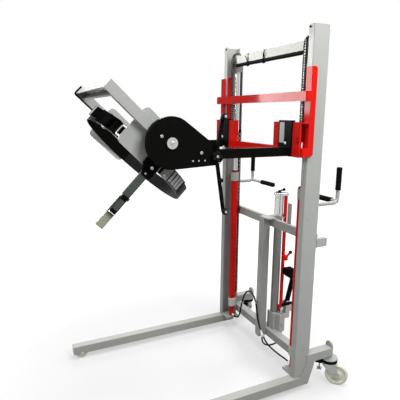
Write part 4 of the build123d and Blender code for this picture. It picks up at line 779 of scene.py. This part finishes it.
# --- Tilt arms: black tubes on hook plates that hang on the bracket boxes, with zinc screws and small black
# ones in the boxes. The chain case on the right arm is a black cover with a raised lower half; a blank plate
# is riveted to the right hook plate.
dress(satin_black, "tilt_arm_left", "tilt_arm_right", "chain_case")
dress(oiled_steel, "tilt_chain")
screws = [cap_screw((sign * 0.331, 0.3045, 1.368), -back, 0.007, 0.005) for side, sign in hands]
screws += [cap_screw(place, right, 0.007, 0.005)
           for place in ((0.37, -0.373, 1.413), (0.38, -0.19, 1.337))]
screws += [cap_screw((0.38, y, 1.302), right, 0.0042, 0.0026, 16) for y in (-0.231, -0.202, -0.172)]
screws.append(turned([(0, 0.0075), (0.003, 0.0075), (0.004, 0.005), (0.012, 0.005), (0.014, 0.0035)],
                     (0.331, -0.052, 1.347), up, 20))
piece("arm_screws", screws, bright_zinc, "carriage", ("arm_bolts",), 30)
dark_screws = [cap_screw((sign * 0.416, 0.3125, z), -back, 0.0042, 0.0026, 16)
               for side, sign in hands for z in (1.376, 1.394)]
piece("box_screws", dark_screws, satin_black, "carriage", angle=30)
tag_grey = enamel("tag_grey", (0.3, 0.31, 0.31), (0.1, 0.1, 0.1, 1), gloss=0.45, peel=0.00005,
                  coat=0.0, level=0.2)
tag_face = 0.3033
tag = [slab((0.279, tag_face, 1.368), (0.317, 0.3044, 1.47))]
tag += [turned([(0, 0.0022), (0.0008, 0.0018), (0.0012, 0)], (x, tag_face, z), -back, 12)
        for x in (0.2825, 0.3135) for z in (1.3715, 1.4665)]
piece("blank_tag", tag, tag_grey, "carriage")

# --- Cradle: grey side plates and bail, black clamp band with ratchet, grey buckle, rim hook with its latch.
# Places are given from the pivot: across, away from the band's open side, and towards the drum's mouth.
pivot = joint_at["drum_tilt"]
slope = math.radians(45.8)
away = np.array((0.0, -math.sin(slope), math.cos(slope)))
mouth = np.array((0.0, -math.cos(slope), -math.sin(slope)))
band_drop, band_along = -0.03, 0.0925


def held(points):
    """Places in the cradle's own directions, turned into the frame."""
    points = np.asarray(points, float)
    return pivot + points[..., :1] * right + points[..., 1:2] * away + points[..., 2:] * mouth


def banded(angle, radius, v=band_along):
    """Place on the band and its outward and round-going directions, at an angle from the bail towards +X."""
    s = math.radians(angle)
    out = math.sin(s) * right + math.cos(s) * away
    place = held((radius * math.sin(s), band_drop + radius * math.cos(s), v))
    return place, out, math.cos(s) * right - math.sin(s) * away


def banded_slab(angle, radius, low, high):
    """Box on the band: its corners count round it, outwards from the radius, and along the axis."""
    corners, groups = slab(low, high)
    place, out, round_going = banded(angle, radius)
    return place + corners[:, :1] * round_going + corners[:, 1:2] * out + corners[:, 2:] * mouth, groups


def reach_of(paint, origin, direction):
    """A finish's offset from a place in the frame, and how far it goes in a direction."""
    offset = paint.node("VectorMath", {"operation": "SUBTRACT"}, {0: paint.place, 1: tuple(origin)})
    return offset, paint.node("VectorMath", {"operation": "DOT_PRODUCT"}, {0: offset, 1: tuple(direction)}, 1)


def buckle_of(paint):
    """Grey head of the buckle: farther than 299.7 mm from the band's axis, and within 88 mm below it."""
    offset, lift = reach_of(paint, held((0.0, band_drop, 0.0)), away)
    x = paint.node("SeparateXYZ", {}, {"Vector": offset}, 0)
    far = paint.step((x * x + lift * lift) ** 0.5, 0.2996, 0.2999)
    return far * paint.step(lift, -0.089, -0.087), (0.36, 0.365, 0.345, 1)


def lit_hook_end_of(paint):
    """Painted light on the hook's end, lighter than the painted shade of the rest: more than 400 mm from the
    pivot towards the mouth.
    """
    return paint.step(reach_of(paint, pivot, mouth)[1], 0.392, 0.404), (0.3, 0.3, 0.235, 1)


# Grey paint of the rim hook with its shade painted in: dark olive-grey, with painted light on the hook's end.
hook_paint_with_painted_shade = enamel("olive_passivate", (0.052, 0.063, 0.054), (0.1, 0.09, 0.07, 1), gloss=0.42, coat=0.0,
               level=0.2, second=lit_hook_end_of)
dress(grey_enamel, "cradle_frame")
dress(satin_black, "clamp_band", "rim_latch", "ratchet_lever")
dress(enamel("strap_and_buckle", (0.008, 0.0082, 0.008), (0.03, 0.028, 0.025, 1), gloss=0.4, coat=0.0,
             level=0.05, second=buckle_of), "front_strap")
dress(hook_paint_with_painted_shade, "rim_hook")
dress(bright_zinc, "pivot_shafts")

ratchet_angle, ratchet_radius = 35.0, 0.3115
ratchet, ratchet_out, ratchet_round = banded(ratchet_angle, ratchet_radius)
cog_turn = np.linspace(0, 2 * np.pi, 48, endpoint=False)
cog_ring = circle(1.0, 48) * (0.0112 + 0.0028 * ((cog_turn * 12 / (2 * np.pi)) % 1.0))[:, None]
teeth = cog_ring[:, :1] * ratchet_out + cog_ring[:, 1:] * ratchet_round
cog_pin = [(0.0362, 0.0062), (0.039, 0.0062), (0.0398, 0.005)]
pivot_screw = [(0.0003, 0.0085), (0.0028, 0.0085), (0.0036, 0.007), (0.0036, 0.004), (0.0014, 0.0036)]
buckle_angle, buckle_radius = 101.5, 0.3146
fittings = [turned(pivot_screw, pivot + 0.379 * right, right, 24),
            cap_screw(held((0.3172, -0.024, 0.131)), right, 0.0075, 0.0055),
            cap_screw(held((0.3172, -0.018, 0.168)), right, 0.0045, 0.003)]
for edge in (-1, 1):
    fittings.append(grid(np.stack([ratchet + size * teeth + edge * reach * mouth for size, reach in (
        (0, 0.0327), (1, 0.0327), (1, 0.0362), (0, 0.0362))])))
    fittings.append(turned(cog_pin, ratchet, edge * mouth, 20))
    fittings.append(cap_screw(held((0.3205, -0.018 + edge * 0.02, 0.305)), edge * away, 0.0055, 0.0035))
    place, out, round_going = banded(buckle_angle, buckle_radius, band_along + 0.022 * edge)
    fittings.append(cap_screw(place, out, 0.0055, 0.0045))
piece("cradle_fasteners", fittings, bright_zinc, "cradle", angle=30)

place, out, round_going = banded(52.0, 0.3052)
loop = rounded((-0.023, -0.024), (0.023, 0.024), 0.005)
path = place + loop[:, :1] * round_going + loop[:, 1:] * mouth
strap_link = run(np.vstack([path, path[:1]]), circle(0.0046, 12), out)
piece("strap_link", [strap_link], chrome, "cradle", angle=80)

ribs = [banded_slab(angle, 0.3143, (-0.0072, 0.0, -0.029), (0.0072, 0.005, 0.029))
        for angle in (108.6, 112.8, 117.0, 121.2)]
piece("buckle_ribs", ribs, grey_enamel, "cradle")

hook_root = [
    (-0.052, 0.098), (0.02, 0.098), (0.026, 0.108), (0.026, 0.136), (0.012, 0.16), (-0.006, 0.182),
    (-0.042, 0.182), (-0.052, 0.172)]
bail_rod = [
    (-0.302, 0.205, 0.0365), (-0.305, 0.262, 0.0365), (-0.31, 0.335, 0.0365), (-0.311, 0.358, 0.036),
    (-0.308, 0.365, 0.027), (-0.298, 0.3655, 0.006), (-0.288, 0.3655, -0.013)]
black_bits = [plate(hook_root, held((0.3136, 0.0, 0.0)), away, mouth, 0.0034),
              run(flowing(held(bail_rod), 6), circle(0.0048, 12), right)]
black_bits += [banded_slab(angle, 0.2994, (-0.004, 0.0, -0.0262), (0.004, 0.004, 0.0262))
               for angle in (28.0, 42.0)]
piece("cradle_black_fittings", black_bits, satin_black, "cradle")

beads = welds((
    ((0.3075, 0.1, -0.013), (0.3075, 0.1, 0.03)), ((0.3075, 0.103, -0.015), (0.3075, 0.172, -0.015)),
    ((0.3075, 0.103, 0.031), (0.3075, 0.172, 0.031)),
), 0.0022, held)
piece("cradle_welds", beads, grey_enamel, "cradle", angle=80)

latch_bar = turned([(-0.016, 0.0032), (0.016, 0.0032)], held((0.329, -0.018, 0.393)), away, 16)
piece("rim_latch_bar", [latch_bar], chrome, "rim_latch")
# The latch plate takes the hook's grey paint with the painted shade.
latch_corners, latch_faces = slab((0.3273, -0.03, 0.322), (0.3284, -0.004, 0.374))
piece("rim_latch_plate", [(held(latch_corners), latch_faces)], hook_paint_with_painted_shade, "rim_latch")
lever_ribs = [banded_slab(ratchet_angle, ratchet_radius, (-gone - 0.0055, 0.0105, -0.025),
                          (-gone, 0.015, 0.025)) for gone in (0.036, 0.048, 0.06, 0.072, 0.084)]
piece("ratchet_lever_ribs", lever_ribs, black_rubber, "ratchet_lever")
bar_place = ratchet - 0.1 * ratchet_round + 0.0118 * ratchet_out
lever_bar = turned([(-0.024, 0.0036), (0.024, 0.0036)], bar_place, mouth, 16)
piece("ratchet_lever_bar", [lever_bar], bright_zinc, "ratchet_lever")

# --- Crank: black double crank on the case, with a lobed hub nut, a locking ball and two black knobs.
# The knobs turn on pins with zinc washers and screw heads.
dress(satin_black, "crank")
knob_plastic = rubber("knob_plastic", (0.01, 0.01, 0.0105), grain=340.0, gloss=0.22)
crank_face = 0.3943
crank_y, crank_z = joint_at["crank_turn"][1:]
hub_place = np.array((0.3944, crank_y, crank_z))
hub_ring = np.insert(lobed(0.0195, 0.004, 5, 60), 0, 0.0, axis=1)
hub_nut = np.stack([hub_place + size * hub_ring + ahead * right for ahead, size in (
    (0, 0), (0, 1), (0.008, 1), (0.01, 0.9), (0.01, 0))])
ball = [
    (0.0, 0.0055), (0.006, 0.0055), (0.0068, 0.008), (0.01, 0.0102), (0.0145, 0.0108), (0.019, 0.0094),
    (0.022, 0.0055), (0.0228, 0.0)]
piece("crank_hub_and_ball", [grid(hub_nut), turned(ball, (crank_face, -0.1031, 1.2117), right, 28)],
      knob_plastic, "crank")
bits = [cap_screw((0.4044, crank_y, crank_z), right, 0.0062, 0.004),
        turned([(0, 0.0048), (0.01, 0.0048), (0.0115, 0.0036)], (crank_face, -0.1088, 1.29), right, 18)]
knob_shape = [
    (0.0003, 0.0051), (0.0003, 0.0105), (0.0016, 0.012), (0.005, 0.0128), (0.009, 0.015), (0.015, 0.016),
    (0.021, 0.0148), (0.0245, 0.0112), (0.0257, 0.007), (0.0257, 0.0051), (0.0003, 0.0051)]
knob_screw = [
    (0, 0.0064), (0.0009, 0.0064), (0.0012, 0.0056), (0.0026, 0.005), (0.0026, 0.0026), (0.0016, 0.0022)]
for knob in ("crank_knob_upper", "crank_knob_lower"):
    y, z = joint_at[knob + "_spin"][1:]
    piece(knob + "_ball", [turned(knob_shape, (crank_face, y, z), right, 36)], knob_plastic, knob,
          (knob,))
    bits.append(turned(knob_screw, (0.4203, y, z), right, 24))
piece("crank_screws", bits, bright_zinc, "crank", angle=30)

# --- Studio: pale floor that keeps the shadow, white surroundings, soft lamps and the camera.
# None of it belongs to the object. The side panel adds reflections only, such as the one in the red bar.
floor_mesh = bpy.data.meshes.new("studio_floor")
floor_mesh.from_pydata([(-30, -30, 0), (30, -30, 0), (30, 30, 0), (-30, 30, 0)], [], [(0, 1, 2, 3)])
floor = added("studio_floor", floor_mesh)


def seen(tree):
    """1 for what the camera, a mirror or glass sees, 0 for what only lights the object."""
    rays = tree.nodes.new("ShaderNodeLightPath")
    share = rays.outputs["Is Camera Ray"]
    for other in ("Is Glossy Ray", "Is Transmission Ray"):
        either = tree.nodes.new("ShaderNodeMath")
        either.operation = "MAXIMUM"
        tree.links.new(share, either.inputs[0])
        tree.links.new(rays.outputs[other], either.inputs[1])
        share = either.outputs[0]
    return share


pale = Finish("studio_floor", {"Base Color": (0.3, 0.3, 0.3, 1), "Roughness": 0.9,
                               "Specular IOR Level": 0.0})
distance = pale.node("VectorMath", {"operation": "LENGTH"}, {0: pale.place}, 1)
glow = pale.mix(pale.step(distance, 0.5, 3.0), (0.46, 0.46, 0.46, 1), (1, 1, 1, 1))
pale.tree.links.new(glow.socket, pale.shader.inputs["Emission Color"])
pale.tree.links.new(seen(pale.tree), pale.shader.inputs["Emission Strength"])
floor_mesh.materials.append(pale.material)

surroundings = bpy.data.worlds.new("studio")
bpy.context.scene.world = surroundings
surroundings.use_nodes = True
tree = surroundings.node_tree
strength = tree.nodes.new("ShaderNodeMath")
strength.operation = "MULTIPLY_ADD"
tree.links.new(seen(tree), strength.inputs[0])
strength.inputs[1].default_value, strength.inputs[2].default_value = 0.84, 0.16
sky = tree.nodes["Background"]
sky.inputs["Color"].default_value = (1, 1, 1, 1)
tree.links.new(strength.outputs[0], sky.inputs["Strength"])

for lamp, place, aim, size, power in (
    ("key_lamp", (2.4, 0.6, 3.0), (0.3, 0.3, 1.7), 1.4, 88.0),
    ("top_lamp", (0.2, 0.2, 4.6), (0.1, 0.2, 1.0), 2.6, 160.0),
    ("front_lamp", (0.9, -2.9, 3.3), (0.0, 0.3, 1.6), 1.2, 56.0),
    ("back_lamp", (-0.5, 3.3, 3.0), (0.0, 0.3, 1.1), 1.6, 70.0),
    ("left_lamp", (-3.2, 0.4, 2.8), (0.0, 0.1, 1.1), 1.6, 55.0),
    ("side_panel", (-2.45, -1.95, 2.04), (0.2, 0.3, 1.6), 1.05, 165.0),
):
    light = bpy.data.lights.new(lamp, "AREA")
    light.energy, light.size = power, size
    light_object = added(lamp, light)
    light_object.matrix_world = (Vector(aim) - Vector(place)).to_track_quat("-Z", "Y").to_matrix().to_4x4()
    light_object.location = place
    light_object.visible_diffuse = lamp != "side_panel"

bearing, lean, roll = math.radians(64.382), math.radians(11.558), math.radians(0.453)
ahead = Vector((-math.sin(bearing) * math.cos(lean), math.cos(bearing) * math.cos(lean), -math.sin(lean)))
across = ahead.cross(Vector((0, 0, 1))).normalized()
upwards = across.cross(ahead)
turned_view = Matrix((across * math.cos(roll) + upwards * math.sin(roll),
                      upwards * math.cos(roll) - across * math.sin(roll), -ahead)).transposed().to_4x4()
turned_view.translation = (2.0597, -1.0003, 1.504)
camera = added("camera", bpy.data.cameras.new("camera"))
camera.matrix_world = turned_view
camera.data.sensor_width, camera.data.lens = 36, 37.57
bpy.context.scene.camera = camera
bpy.context.scene.view_settings.view_transform = "Standard"
